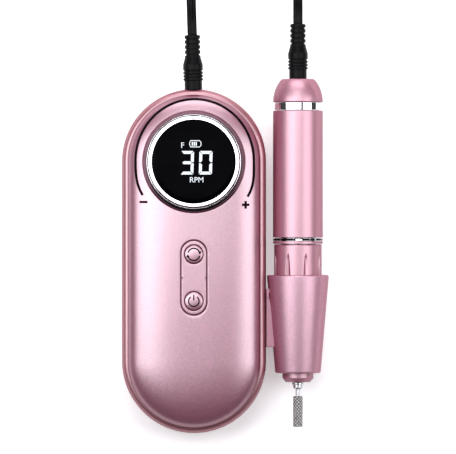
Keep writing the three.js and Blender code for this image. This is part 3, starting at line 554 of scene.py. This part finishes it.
def cord_path():
    """The middle line from the plug at the box, round the coil, to the plug at the handpiece."""
    turn = np.linspace(0, COIL_SWEEP, 700)
    turns = turn / (2 * np.pi)
    inward = np.minimum(turns, 2 * LAYER_TURNS - turns) * TURN_PITCH
    inward = np.minimum(inward, LAYER_TURNS * TURN_PITCH)
    radius = COIL_RADIUS - inward
    rise = smooth_step((turns - LAYER_TURNS + 0.2) / 0.4)
    angle = COIL_START - turn
    coil = stacked(COIL_X + radius * np.cos(angle), COIL_Y + radius * np.sin(angle),
                     LAYER_LOW + (LAYER_HIGH - LAYER_LOW) * rise)
    in_box_plug, in_pen_plug = (-0.87, 112.4, 16.87), (52, 118.0, 16.87)
    return through([in_box_plug, *BOX_LEAD, *coil[6:-6:6].tolist(), *PEN_LEAD[::-1], in_pen_plug], 1.4)


def cord_surface(path):
    """A section of two round lobes side by side, laid flat on the leads and on its edge in the coil."""
    along = normed(np.gradient(path, axis=0))
    sideways = normed(np.cross(along, [0, 0, 1.0]))
    upward = np.cross(sideways, along)
    gone = length_to(path)
    box_part, pen_part = 50.0, 150.0
    edge_on = smooth_step((gone - box_part + 12) / 34) * smooth_step((gone[-1] - pen_part + 22 - gone) / 34)
    twist = (edge_on * np.pi / 2)[:, None]
    wide = sideways * np.cos(twist) + upward * np.sin(twist)
    thin = -sideways * np.sin(twist) + upward * np.cos(twist)
    turn = circle(28)
    u = np.sign(np.cos(turn)) * np.abs(np.cos(turn)) ** 0.9 * 2 * LOBE
    lobe = np.sqrt(np.maximum(LOBE**2 - (np.abs(u) - LOBE) ** 2, 0))
    v = np.sign(np.sin(turn)) * np.maximum(lobe, np.where(np.abs(u) < LOBE, 0.3 * LOBE, 0.0))
    return path[:, None] + wide[:, None] * u[:, None] + thin[:, None] * v[:, None]


path = cord_path()
surface = cord_surface(path)
rows, columns = surface.shape[:2]
cap_start, cap_end = np.repeat(path[:1], columns, axis=0), np.repeat(path[-1:], columns, axis=0)
points = np.vstack([cap_start, surface.reshape(-1, 3), cap_end])
cord = piece("cord", points, grid_faces(rows + 2, columns), CORD, merge=True)
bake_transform(cord)
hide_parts("cord_tube_main", "cord_coil", "cord_tube_handpiece")


# ---------- Plugs ----------
def plug_profile():
    """From the front face: grip with collars, shoulder, strain relief with four ring grooves."""
    c = [(0, 0, 0), (4.4, 0, 0.35), (4.4, 4.6, 0.1)]
    for start in (4.8, 6.45, 8.1):
        c += [(4.45, start, 0.1), (4.95, start + 0.15, 0.25), (4.95, start + 1.1, 0.25)]
        c += [(4.45, start + 1.3, 0.1)]
    c += [(4.45, 9.8, 0.1), (4.95, 10.1, 0.3), (4.95, 12.8, 0.9), (4.0, 16.3, 0.8)]
    for start in (17.6, 20.15, 22.7, 25.2):
        c += [(3.9, start - 0.25, 0.08), (3.35, start - 0.1, 0.12), (3.35, start + 0.55, 0.12)]
        c += [(3.9, start + 0.7, 0.08)]
    c += [(3.9, 27.6, 0.8), (2.7, 27.6, 0.3), (2.6, 26.9, 0.1), (0, 26.9, 0)]
    return eased(c, 4)


def plug(name, x, y, lean=0.0):
    """A plug with its front face at (x, y), turned by lean (radians) about the vertical."""
    made = turned(name, plug_profile(), RUBBER, "Y", x, y, PEN_Z, 64)
    pivot = metres([x, y, PEN_Z])
    c, s = cos(lean), sin(lean)
    away = points_of(made.data) - pivot
    move_points(made.data, pivot + away @ [[c, s, 0], [-s, c, 0], [0, 0, 1]])
    return made


plug_main = on_body(plug("plug_at_box", -0.3, 85.5, 0.022), "control_box", "black_rubber", "plug_main")
plug_pen = on_body(plug("plug_at_handpiece", PEN_X, 91.1), "handpiece", "black_rubber", "plug_handpiece")


# ---------- Front cover ----------
def field(outer, centre_y, half_straight, radius, edge, shares, wall):
    """A grid from an outer loop to a round or pill-shaped hole in the dome around (0, centre_y): even lines
    to the hole, an eased edge, then wall, (distance from the hole's middle line, z) pairs further in."""
    along = np.clip(outer[:, 1] - centre_y, -half_straight, half_straight)
    middle = stacked(0.0, centre_y + along)
    away = normed(outer - middle)
    hole = middle + away * (radius + edge)
    flat = hole + (outer - hole) * shares[:, None, None]
    rows = list(lifted(flat, dome(flat[..., 0], flat[..., 1])))
    lip = rows[-1][:, 2]
    for turn in np.linspace(0, np.pi / 2, 5)[1:]:
        ring = middle + away * (radius + edge - edge * sin(turn))
        rows.append(lifted(ring, lip - edge * (1 - cos(turn))))
    rows += [lifted(middle + away * distance, height) for distance, height in wall]
    return np.array(rows)


def front_cover():
    rim_at, split_y = 27.0, 17.5
    side_low = np.linspace(-END_Y, split_y, 76)
    side_high = np.linspace(split_y, END_Y, 44)[1:]
    top = np.linspace(0, np.pi, 120)[1:-1]
    low = np.linspace(np.pi, 2 * np.pi, 120)[1:-1]

    def loop(radius):
        """The rim loop, and the two field loops that share the line at split_y."""
        right_low, right_high = stacked(radius, side_low), stacked(radius, side_high)
        over = stacked(radius * np.cos(top), END_Y + radius * np.sin(top))
        under = stacked(radius * np.cos(low), -END_Y + radius * np.sin(low))
        return right_low, right_high, over, right_high[::-1] * [-1, 1], right_low[::-1] * [-1, 1], under

    close_in = [1.0, 0.9995, 0.997, 0.992, 0.984]
    rim = []
    for k in (*close_in, *np.linspace(0.972, rim_at / COVER_HALF, 12)):
        flat = np.vstack(loop(k * COVER_HALF))
        rim.append(lifted(flat, dome(flat[:, 0], flat[:, 1])))
    rim = np.array([lifted(np.vstack(loop(COVER_HALF - 2.5)), COVER_LOW), *rim])
    n = rim.shape[1]
    all_points, all_faces = [rim.reshape(-1, 3)], [grid_faces(len(rim), n)]
    first = rim.shape[0] * n
    right_low, right_high, over, left_high, left_low, under = loop(rim_at)
    line = stacked(np.linspace(-rim_at, rim_at, 70)[1:-1], split_y)
    upper = np.vstack([right_low[-1:], right_high, over, left_high, left_low[:1], line])
    lower = np.vstack([right_low, line[::-1], left_low, under])
    shares = np.linspace(1, 0, 34)
    floor = RECESS_FLOOR
    knob_wall = [(25.2, floor + 0.5), (25.05, floor + 0.15), (24.7, floor), (18.1, floor),
                 (18.1, floor - 2)]
    seat_wall = [(6.8, 31.6), (6.75, 31.4), (6.6, 31.2), (5.0, 31.2)]
    for outer, centre, straight, radius, edge, wall in (
        (upper, KNOB_Y, 0.0, 25.2, 0.7, knob_wall),
        (lower, PANEL_Y, 12.15, 6.75, 0.3, seat_wall),
    ):
        grid = field(outer, centre, straight, radius, edge, shares, wall)
        all_points.append(grid.reshape(-1, 3))
        all_faces.append(grid_faces(len(grid), grid.shape[1], first=first))
        first += grid.shape[0] * grid.shape[1]
    return np.vstack(all_points), np.vstack(all_faces)


cover_points, cover_faces = front_cover()
cover = piece("front_cover", cover_points, cover_faces, SHELL, merge=True)
on_body(cover, "control_box", "pink_shell", "front_shell")


# ---------- Band and rear shell ----------
def band_piece():
    """The band, with the holder's rail let into its right side."""
    wide = HALF_WIDTH
    ease = np.linspace(0, np.pi / 2, 10)
    lean = [(wide - 2.8 * (1 - cos(t)), BAND_TOP - 4 + 4 * sin(t)) for t in ease]
    groove_low, groove_high = PEN_Z - 2.5, PEN_Z + 2.5
    c = eased([(31.6, BAND_LOW, 0), (wide, BAND_LOW, 0.35), (wide, groove_low - 0.4, 0)], 3)
    rows = [*c, (wide, groove_low - 0.05), (wide, groove_low + 0.05), (wide, groove_high - 0.05),
            (wide - 0.01, groove_high + 0.05)]
    rows += [p for p in lean if p[1] > groove_high + 0.2]
    rows += [(33.0, BAND_TOP + 0.03), (32.8, BAND_TOP), (31.6, BAND_TOP)]
    profile = np.array(rows)
    stations = pill_stations(extra=(11.0, 11.2, -6.3))
    points = pill_points(stations, profile)
    x, y, z = np.moveaxis(points, -1, 0)
    in_groove = (z > groove_low) & (z < groove_high) & (y > -55.6) & (y < 11.1) & (x > wide - 3.2)
    x[in_groove] -= 1.5
    return piece("band", points, grid_faces(len(profile), len(stations)), TRIM)


def rear_piece():
    ease = np.linspace(0, np.pi / 2, 12)
    round_over = [(HALF_WIDTH - 7 + 7 * cos(t), REAR_LOW + 7 - 7 * sin(t)) for t in ease[::-1]]
    rows = [(0, REAR_LOW), (14, REAR_LOW), (26, REAR_LOW), *round_over]
    rows += list(eased([(HALF_WIDTH, 9, 0), (HALF_WIDTH, REAR_TOP, 0.3), (31.6, REAR_TOP, 0)], 3)[1:])
    profile = np.array(rows)
    stations = pill_stations()
    points = pill_points(stations, profile)
    return piece("rear", points, grid_faces(len(profile), len(stations)), TRIM, merge=True)


on_body(band_piece(), "control_box", "pink_trim", "side_band")
on_body(rear_piece(), "control_box", "pink_trim", "rear_shell")


# ---------- Button panel and buttons ----------
def panel_piece():
    """A capsule plate with two round holes: one grid around each button, meeting at the middle."""
    half, straight, hole, edge = 6.2, 12.15, 4.8, 0.35
    arc = np.linspace(0, np.pi, 49)[1:-1]
    upper = np.vstack([
        stacked(half, np.linspace(0, straight, 20)),
        stacked(half * np.cos(arc), straight + half * np.sin(arc)),
        stacked(-half, np.linspace(straight, 0, 20)),
    ])
    across = np.linspace(-half, half, 30)[1:-1]
    loop = np.vstack([upper, stacked(across, 0.0)])
    on_edge = np.arange(len(loop)) < len(upper)
    points, faces = [], []
    for sign, button_y in zip((1, -1), BUTTON_YS):
        outer = loop * sign
        centre = np.array([0, button_y - PANEL_Y])
        away = normed(outer - centre)
        out = normed(outer - stacked(0.0, np.clip(outer[:, 1], -straight, straight)))
        rows = []
        for inset, drop in ((0, 0.9), (0, 0.35), (0.1, 0.1), (0.28, 0.02), (0.5, 0.0)):
            flat = np.where(on_edge[:, None], outer - out * inset, outer)
            rows.append(lifted(flat, np.where(on_edge, PANEL_TOP - drop, PANEL_TOP)))
        lip = centre + away * (hole + edge)
        rows += [lifted(lip + (flat - lip) * share, PANEL_TOP) for share in (0.75, 0.5, 0.25, 0.08, 0.0)]
        for turn in np.linspace(0, np.pi / 2, 5)[1:]:
            ring = centre + away * (hole + edge * (1 - sin(turn)))
            rows.append(lifted(ring, PANEL_TOP - edge * (1 - cos(turn))))
        rows.append(lifted(centre + away * hole, PANEL_TOP - 1.3))
        grid = np.array(rows) + [0, PANEL_Y, 0]
        faces.append(grid_faces(len(grid), grid.shape[1], first=sum(map(len, points))))
        points.append(grid.reshape(-1, 3))
    return piece("button_plate", np.vstack(points), np.vstack(faces), SHELL, merge=True)


def button_piece(name, y):
    """A domed cap with an eased rim."""
    rise = [(CAP_RADIUS * cos(t), CAP_LOW + (CAP_TOP - CAP_LOW) * sin(t))
            for t in np.linspace(0, np.pi / 2, 10)]
    profile = np.array([(5.4, 29.0), (5.4, 29.9), (CAP_RADIUS, 29.9), (CAP_RADIUS, 32.2), *rise])
    profile[-1, 0] = 0
    return turned(name, profile, SHELL, "Z", 0, y, 0, 72)


on_body(panel_piece(), "control_box", "pink_shell", "button_panel")
on_body(button_piece("direction_cap", BUTTON_YS[0]), "direction_key", "pink_shell", "direction_button")
on_body(button_piece("power_cap", BUTTON_YS[1]), "power_key", "pink_shell", "power_button")


# ---------- Flat marks: strips with a little thickness ----------
def strip(name, line, width, material, height, thick=0.05, close=False, taper=0.0):
    """A strip of even width along a flat line; height gives z at each (x, y)."""
    line = np.asarray(line, float)
    closed = np.roll(line, -1, axis=0) - np.roll(line, 1, axis=0)
    ahead = normed(closed if close else np.gradient(line, axis=0))
    out = stacked(ahead[:, 1], -ahead[:, 0])
    half = np.full(len(line), width / 2)
    if taper:
        edge = np.minimum(np.arange(len(line)), np.arange(len(line))[::-1]) / taper
        half = half * np.clip(edge, 0.05, 1)
    rows = []
    for side, lift in ((1, -0.05), (1, thick), (-1, thick), (-1, -0.05)):
        flat = line + out * half[:, None] * side
        rows.append(lifted(flat, height(flat[:, 0], flat[:, 1]) + lift))
    points = np.stack(rows, axis=1)
    count = len(line)
    a = np.arange(count if close else count - 1)[:, None] * 4
    b = (a + 4) % (4 * count)
    faces = [np.hstack([a + k, b + k, b + k + 1, a + k + 1]) for k in range(3)]
    if not close:
        faces += [[[0, 1, 2, 3]], [[(count - 1) * 4 + j for j in (3, 2, 1, 0)]]]
    return piece(name, points, np.vstack(faces), material, flat=True)


def level(z):
    """A height for strip() that is the same everywhere."""
    return lambda x, y: np.full(np.shape(x), z)


def arc_line(radius, start, end, x=0.0, y=0.0, count=120):
    turn = np.radians(np.linspace(start, end, count))
    return stacked(x + radius * np.cos(turn), y + radius * np.sin(turn))


def bar(x0, y0, x1, y1, count=6):
    return stacked(np.linspace(x0, x1, count), np.linspace(y0, y1, count))


def speed_line():
    """The scale round the knob: nearly a circle, a little wider towards its two lower ends."""
    turn = np.linspace(213.5, -34.2, 140)
    radius = 29.5 + 1.3 * np.sin(np.radians(np.clip(turn, 0, 180))) ** 2
    radius += 1.5 * smooth_step((turn - 180) / 33.5) + 2.3 * smooth_step(-turn / 34.2)
    turn = np.radians(turn)
    return stacked(0.4 + radius * np.cos(turn), 50 + radius * np.sin(turn))


marks = [
    strip("speed_arc", speed_line(), 1.25, PRINT, dome),
    strip("minus_mark", bar(-27.1, 29.5, -23.1, 29.5), 1.15, PRINT, dome),
    strip("plus_mark_across", bar(23.9, 28.1, 27.7, 28.1), 1.2, PRINT, dome),
    strip("plus_mark_along", bar(25.8, 26.2, 25.8, 30.0), 1.2, PRINT, dome, thick=0.06),
]
for mark in marks:
    on_body(mark, "control_box", "dark_print")


# ---------- Knob, lens and display ----------
KNOB_PARTS = (
    # The bright ring at the top of the knob
    ("knob_ring", CHROME, 4, [(20.8, 33.5, 0), (22.7, 33.5, 0.1), (22.7, 37.0, 0.15), (22.45, 37.45, 0.2),
                              (20.95, 37.45, 0.15), (20.8, 37.2, 0.1)]),
    # The dark skirt that is gripped, stepped at the top, with the hub under it
    ("knob_skirt", DARK_METAL, 4, [
        (14.6, 27.6, 0), (17.6, 27.6, 0.2), (17.6, 30.25, 0.3), (23.2, 30.25, 0.3), (23.7, 30.8, 0.3),
        (23.7, 35.6, 0.3), (23.3, 36.3, 0.2), (22.8, 36.3, 0.05), (22.8, 33.4, 0.05), (14.6, 33.4, 0.1)]),
    # A thin bright bead on the skirt's shoulder
    ("knob_bead", CHROME, 3, [(23.2, 36.1, 0), (23.42, 36.15, 0.1), (23.42, 36.5, 0.1), (23.15, 36.55, 0.1),
                              (23.15, 36.1, 0)]),
)
for name, material, steps, corners in KNOB_PARTS:
    made = turned(name, ring_profile(corners, steps), material, "Z", 0, KNOB_Y, 0, 180)
    on_body(made, "knob", "chrome", "speed_knob")
# Painted shadow: a thin dark crescent, tapered at both ends, on the recess floor below the knob, standing in for
# the shade the knob casts into its recess.
shadow_crescent = strip("knob_painted_shadow", arc_line(24.25, 196, 338, 0, KNOB_Y, 90), 0.95, RUBBER, level(RECESS_FLOOR),
              thick=0.3, taper=30)
on_body(shadow_crescent, "control_box", "black_rubber")


def lens_piece():
    """The display's cover, slightly crowned."""
    slope = eased([(0, 36.5, 0), (20.6, 36.5, 0.05), (20.6, 37.15, 0.2), (20.0, 37.3, 0.2)], 4)[:-1]
    crown = [(r, 37.3 + 0.1 * (1 - (r / 20.0) ** 2)) for r in np.linspace(20.0, 0, 14)]
    return turned("display_cover", np.vstack([slope, crown]), GLASS, "Z", 0, KNOB_Y, 0, 128)


on_body(lens_piece(), "control_box", "black_glass", "display_lens")


def polygon(name, outline, material, low, high):
    """A flat shape with straight sides: its outline from below, the side walls and the top."""
    outline = np.asarray(outline, float)
    area = np.sum(outline[:, 0] * np.roll(outline[:, 1], -1) - np.roll(outline[:, 0], -1) * outline[:, 1])
    if area < 0:
        outline = outline[::-1]
    n = len(outline)
    points = np.vstack([lifted(outline, low), lifted(outline, high)])
    sides = [(k, (k + 1) % n, n + (k + 1) % n, n + k) for k in range(n)]
    mesh = bpy.data.meshes.new(name)
    mesh.from_pydata(metres(points).tolist(), [], [tuple(range(n))[::-1], tuple(range(n, 2 * n)), *sides])
    mesh.update()
    return placed(name, mesh, material)


def joined(name, objects):
    """Several objects as one mesh."""
    with bpy.context.temp_override(active_object=objects[0], selected_editable_objects=objects):
        bpy.ops.object.join()
    objects[0].name = name
    return objects[0]


def segment(kind, x, y):
    """The outline of one segment of a seven-segment figure with its lower left corner at (x, y). b and c are
    f and e seen in a mirror."""
    wide, tall, t, gap, slant = 6.5, 11.7, 1.45, 0.3, 0.03
    mid = tall / 2
    low, high, left, right = mid - t / 2, mid + t / 2, t + 0.1, wide - t - 0.1
    shapes = {
        "a": [(gap, tall), (wide - gap, tall), (wide - t, tall - t), (t, tall - t)],
        "d": [(gap, 0), (wide - gap, 0), (wide - t, t), (t, t)],
        "e": [(0, mid - gap), (0, gap), (t, t + gap), (t, low - gap), (t / 2, mid - gap + 0.05)],
        "f": [(0, tall - gap), (0, mid + gap), (t / 2, mid + gap - 0.05), (t, high + gap),
              (t, tall - t - gap)],
        "g": [(t * 0.6, mid), (left, high), (right, high), (wide - t * 0.6, mid), (right, low),
              (left, low)],
    }
    for made, source in ("bf", "ce"):
        shapes[made] = [(wide - px, py) for px, py in shapes[source]]
    return [(x + px + slant * py, y + py) for px, py in shapes[kind]]


def label(name, text, x, y, height, material, z):
    """Lettering as a flat mesh, its lower left corner at (x, y)."""
    curve = bpy.data.curves.new(name, "FONT")
    curve.body = text
    made = placed(name, curve)
    bpy.context.view_layer.update()
    mesh = bpy.data.meshes.new_from_object(made.evaluated_get(bpy.context.evaluated_depsgraph_get()))
    bpy.data.objects.remove(made)
    points = points_of(mesh)
    low, high = points.min(0), points.max(0)
    points = (points - low) * height / (high[1] - low[1]) + [x, y, 0]
    points[:, 2] = z
    move_points(mesh, metres(points))
    mesh.materials.clear()
    return placed(name, mesh, material)


lit = []
for kinds, x in (("abgcd", -6.7), ("abcdef", 2.5)):
    for kind in kinds:
        name = f"lit_{kind}_{x:.0f}".replace("-", "m")
        lit.append(polygon(name, segment(kind, x, 43.1), GLOW, LENS_TOP - 0.15, LENS_TOP))
for k in range(3):
    x = -1.0 + k * 0.95
    outline = [(x, 57.4), (x + 0.6, 57.4), (x + 0.6, 59.3), (x, 59.3)]
    lit.append(polygon(f"charge_bar_{k}", outline, GLOW, LENS_TOP - 0.15, LENS_TOP))
case_line = [(-1.6, 56.8), (2.9, 56.8), (3.6, 57.6), (3.6, 59.1), (2.9, 59.9), (-1.6, 59.9), (-2.0, 59.0),
             (-2.0, 57.7)]
lit.append(strip("charge_case", case_line, 0.4, GLOW, level(LENS_TOP), thick=0.0, close=True))
lit.append(label("letter_f", "F", -6.2, 56.3, 2.7, GLOW, LENS_TOP))
lit.append(label("unit_letters", "RPM", -1.9, 39.2, 2.6, GLOW, LENS_TOP))
on_body(joined("lit_figures", lit), "control_box", "display_white")


# ---------- Icons on the buttons ----------
def cap_height(centre_y):
    def at(x, y):
        share = np.clip(np.hypot(x, y - centre_y) / CAP_RADIUS, 0, 1)
        return CAP_LOW + (CAP_TOP - CAP_LOW) * np.sqrt(1 - share**2)
    return at


def arrow_head(name, tip, heading, size, height):
    """A small triangle with its tip at tip, pointing along heading (degrees)."""
    turn = radians(heading)
    back = np.array([cos(turn), sin(turn)]) * size
    side = np.array([-back[1], back[0]]) * 0.62
    z = float(height(*tip))
    return polygon(name, [tip, tip - back + side, tip - back - side], PRINT, z - 0.2, z + 0.05)


direction_y, power_y = BUTTON_YS
on_cap, on_power = cap_height(direction_y), cap_height(power_y)
turn_icon = [
    strip("turn_mark_a", arc_line(3.0, 20, 165, 0, direction_y, 30), 0.7, PRINT, on_cap),
    strip("turn_mark_b", arc_line(3.0, 200, 345, 0, direction_y, 30), 0.7, PRINT, on_cap),
    arrow_head("turn_tip_a", (3.0, direction_y - 0.1), -90, 1.6, on_cap),
    arrow_head("turn_tip_b", (-3.0, direction_y + 0.1), 90, 1.6, on_cap),
]
power_icon = [
    strip("power_mark_ring", arc_line(2.6, 125, 415, 0, power_y, 60), 0.65, PRINT, on_power),
    strip("power_mark_bar", bar(0, power_y + 0.4, 0, power_y + 3.3), 0.65, PRINT, on_power),
]
on_body(joined("turn_mark", turn_icon), "direction_key", "dark_print")
on_body(joined("power_mark", power_icon), "power_key", "dark_print")


# ---------- Handpiece ----------
def along_pen(name, profile, material, segments=128):
    return turned(name, profile, material, "Y", PEN_X, 0, PEN_Z, segments)


def tube(bore, radius, low, high, edge):
    """The section of a plain tube whose outer edges are eased."""
    return [(bore, low, 0), (radius, low, edge), (radius, high, edge), (bore, high, 0)]


def ring_part(name, corners, material, slot, replaced):
    """A ring-shaped piece of the handpiece from the corners of its section."""
    on_body(along_pen(name, ring_profile(corners, 5), material), "handpiece", slot, replaced)


def round_pen(radius, y, turn):
    """Points at a radius, a place along and a turn about the handpiece's axis."""
    return stacked(PEN_X + radius * np.cos(turn), y, PEN_Z - radius * np.sin(turn))


def tail_profile():
    """The tail's dome: an ellipse cut off at the radius of its flat end, then the socket's bore."""
    low, height, flat_end = 79.5, 11.6, 8.2
    whole = height / sqrt(1 - (flat_end / PEN_RADIUS) ** 2)
    rows = [(6.2, low), (12.2, low), (12.42, low + 0.06), (PEN_RADIUS, low + 0.25)]
    for share in np.linspace(0.05, 0.93, 22):
        rows.append((PEN_RADIUS * sqrt(1 - (share * height / whole) ** 2), low + share * height))
    rows += [(8.45, 90.75), (flat_end, 91.0), (7.9, 91.1), (4.6, 91.1), (4.3, 90.9), (4.3, 89.1),
             (6.2, 89.1)]
    return np.array([*rows, rows[0]])


on_body(along_pen("tail_dome", tail_profile(), BARREL), "handpiece", "pink_barrel", "tail_cap")
ring_part("tail_chrome", tube(5.9, PEN_RADIUS, 75.5, 79.2, 0.2), CHROME, "chrome", "tail_ring")
ring_part("barrel_tube", tube(10.9, PEN_RADIUS, 11.8, 75.2, 0.2), BARREL, "pink_barrel", "barrel")
ring_part("collar_chrome", [(10.9, 10.1, 0), (12.45, 10.1, 0.1), (11.9, 11.1, 0.3), (12.3, 11.5, 0.1),
                            (10.9, 11.5, 0)], CHROME, "chrome", "collar_ring")


def collar_inlays():
    """Dark inlays let into the collar ring: short bands of a cylinder, three to each quarter of a turn."""
    out = []
    count = 24
    step = np.arange(count - 1)[:, None] * 4
    sides = [np.hstack([step + k, step + m, step + 4 + m, step + 4 + k]) for k, m in enumerate((1, 2, 3, 0))]
    last = 4 * (count - 1)
    faces = np.vstack([*sides, [[3, 2, 1, 0], [last, last + 1, last + 2, last + 3]]])
    for quarter in range(4):
        for low, high in ((-43, -6), (9, 27), (32, 42)):
            turn = np.radians(np.linspace(low, high, count) + 90 * quarter - 90)
            band = [round_pen(r, y, turn) for r, y, _ in tube(12.3, 12.52, 10.3, 11.1, 0)]
            name = f"collar_inlay_{len(out)}"
            out.append(piece(name, np.stack(band, axis=1), faces, DARK_METAL, flat=True))
    return joined("collar_inlays", out)


on_body(collar_inlays(), "handpiece", "chrome")
ring_part("collar_rim", tube(8.9, 12.4, 8.65, 9.95, 0.15), BARREL, "pink_barrel", "collar_flange")
ring_part("nose", [(4.4, -60.5, 0), (6.15, -60.5, 0.25), (7.8, -58.5, 0.5), (7.8, -52.8, 0.2),
                   (4.4, -52.8, 0)], BARREL, "pink_barrel", "nose_tip")


def sleeve_piece():
    """The twist sleeve: eight scooped flutes with pointed tops."""
    low, high, bore, widest, scoop_top = -40.0, 8.35, 9.0, 11.9, 4.2
    ys = np.concatenate([np.linspace(low, -9, 20), np.linspace(-9, 5, 48)[1:], np.linspace(5, high, 8)[1:]])
    turns = circle(480)
    radius = np.interp(ys, [low, -9, 7.9, high], [10.0, widest, widest, 11.65])[:, None]
    first, pitch = np.pi / 8 - 0.06, np.pi / 4
    middle = first + np.round((turns - first) / pitch) * pitch
    away = (turns - middle) * widest
    half = 1.35 * np.sqrt(np.clip((scoop_top - ys) / 10, 0, 1))[:, None] + 1e-6
    scoop = np.clip(1 - np.abs(away / half) ** 1.3, 0, 1) * 0.8 * smooth_step((scoop_top - ys) / 3)[:, None]
    bottom, top = round_pen(bore, low, turns), round_pen(bore, high, turns)
    points = np.array([bottom, *round_pen(radius - scoop, ys[:, None], turns), top, bottom])
    return piece("grip_sleeve", points, grid_faces(len(points), len(turns)), BARREL, merge=True)


on_body(sleeve_piece(), "lock_sleeve", "pink_barrel", "twist_sleeve")


def cup_piece():
    """The tapered holder cup; its wall is 1.8 mm thick."""
    low, high, narrow, wide, wall, floor = -56.0, -7.0, 11.4, 15.55, 1.8, -53.8

    def inside(y):
        return narrow + (wide - narrow) / 48.8 * (y + 55.8) - wall

    c = [(8.3, low, 0), (narrow, low, 0.9), (wide, high, 1.4), (inside(high), high, 0.5),
         (inside(floor), floor, 0.3), (8.3, floor, 0.2)]
    return along_pen("cup", ring_profile(c, 8), HOLDER, 144)


def bracket_pieces():
    """The plate between the box and the cup, with a small hook, its neck, and the slider in the rail."""
    rows = (
        ("cup_bracket_plate", [(36.3, -43.0), (41.9, -43.0), (37.4, -16.2), (38.3, -15.2), (38.0, -13.9),
                               (37.2, -13.6), (36.3, -14.2)], LILAC, 4, 4),
        ("cup_bracket_hook", [(36.3, -18.6), (37.2, -18.4), (37.7, -17.6), (37.2, -17.0), (36.3, -17.0)],
         LILAC, 4, 4.6),
        ("cup_bracket_neck", [(35.3, -43.0), (36.4, -43.0), (36.4, -14.0), (35.3, -14.0)], LILAC, 2.2, 2.2),
        ("cup_slider", [(34.6, -55.3), (35.8, -55.3), (35.8, -6.2), (34.6, -6.2)], TRIM, 2.2, 2.2),
    )
    return [polygon(name, line, paint, PEN_Z - down, PEN_Z + up) for name, line, paint, down, up in rows]


on_body(cup_piece(), "control_box", "pink_holder", "holder_cup")
for part in bracket_pieces():
    ease = part.modifiers.new("edges", "BEVEL")
    ease.width = 0.00025
    ease.segments = 2
    on_body(part, "control_box", "pink_holder")


COLLET_SECTION = [(1.425, -64.0, 0), (2.05, -64.0, 0.2), (2.4, -63.4, 0.2), (2.4, -61.8, 0.1),
                  (3.0, -61.8, 0.15), (3.0, -60.8, 0.1), (1.9, -60.8, 0), (1.9, -40.0, 0), (1.425, -40.0, 0)]
SHANK_SECTION = [(0, -67.2, 0), (1.175, -67.2, 0.05), (1.175, -38.5, 0.3), (0, -38.5, 0)]
on_body(along_pen("collet_nose", ring_profile(COLLET_SECTION, 3), STEEL, 64), "chuck", "steel", "collet")
on_body(along_pen("shank", eased(SHANK_SECTION, 3), STEEL, 48), "bit", "steel", "bit_shank")


def bit_head_piece():
    """A cylinder with two crossing families of slanting grooves; its groove attribute says how deep a point
    lies in them."""
    low, high, widest, depth = -83.0, -67.6, 2.45, 0.3
    turns = circle(144)
    ys = np.linspace(low, high, 150)[:, None]
    wave = np.maximum(np.cos(9 * turns + ys * 3.6), np.cos(9 * turns - ys * 3.6))
    cut = np.maximum(0, wave - 0.3) / 0.7
    ends = np.minimum(1, np.minimum(ys - low, high - ys) / 0.4)
    radius = widest - depth * cut * ends - 0.35 * (1 - np.sqrt(1 - (1 - ends) ** 2))
    points = np.array([round_pen(0, low - 0.1, turns), *round_pen(radius, ys, turns),
                       round_pen(0, high + 0.1, turns)])
    made = piece("bit_grit", points, grid_faces(len(points), len(turns)), GRIT, merge=True)
    at = points_of(made.data) / MM + ORIGIN
    deep = (widest - np.hypot(at[:, 0] - PEN_X, at[:, 2] - PEN_Z)) / depth
    # This groove depth drives the painted shade in the grooves of the diamond_grit material.
    made.data.attributes.new("groove", "FLOAT", "POINT").data.foreach_set("value", np.clip(deep, 0, 1))
    return made


on_body(bit_head_piece(), "bit", "abrasive", "bit_head")


# ---------- Stage and light ----------
def stage_floor():
    half, low = 3.0, -0.0002
    mesh = bpy.data.meshes.new("floor")
    corners = [(-half, -half, low), (half, -half, low), (half, half, low), (-half, half, low)]
    mesh.from_pydata(corners, [], [(0, 1, 2, 3)])
    white = bpy.data.materials.new("floor_white")
    white.use_nodes = True
    set_inputs(white.node_tree.nodes["Principled BSDF"].inputs, Base_Color=(0.94, 0.94, 0.94, 1), Roughness=0.95,
               Specular_IOR_Level=0.0, Emission_Color=(1, 1, 1, 1), Emission_Strength=0.35)
    placed("floor", mesh, white)


def area_light(name, place, aim, wide, tall, bright):
    """A soft rectangular light at a place (box millimetres) aimed at another, of that radiance."""
    data = bpy.data.lights.new(name, "AREA")
    data.shape = "RECTANGLE"
    data.size, data.size_y = wide, tall
    data.energy = bright * wide * tall * pi
    data.color = (0.97, 0.96, 1.0)
    made = placed(name, data)
    place, aim = Vector(metres(place)), Vector(metres(aim))
    made.rotation_euler = (aim - place).to_track_quat("-Z", "Y").to_euler()
    made.location = place
    made.visible_camera = False


stage_floor()
world = bpy.data.worlds.new("studio")
bpy.context.scene.world = world
world.use_nodes = True
set_inputs(world.node_tree.nodes["Background"].inputs, Color=(1.0, 0.985, 0.985, 1), Strength=0.06)
area_light("left_softbox", [-330, 70, 520], [0, 70, 20], 0.36, 0.44, 4.5)
area_light("right_softbox", [480, 60, 470], [20, 60, 20], 0.40, 0.46, 3.8)
area_light("top_softbox", [10, 600, 260], [10, 90, 20], 0.60, 0.34, 4.0)
area_light("sky_panel", [10, 220, 540], [10, 200, 0], 0.34, 0.40, 3.4)
bpy.context.scene.view_settings.view_transform = "Standard"
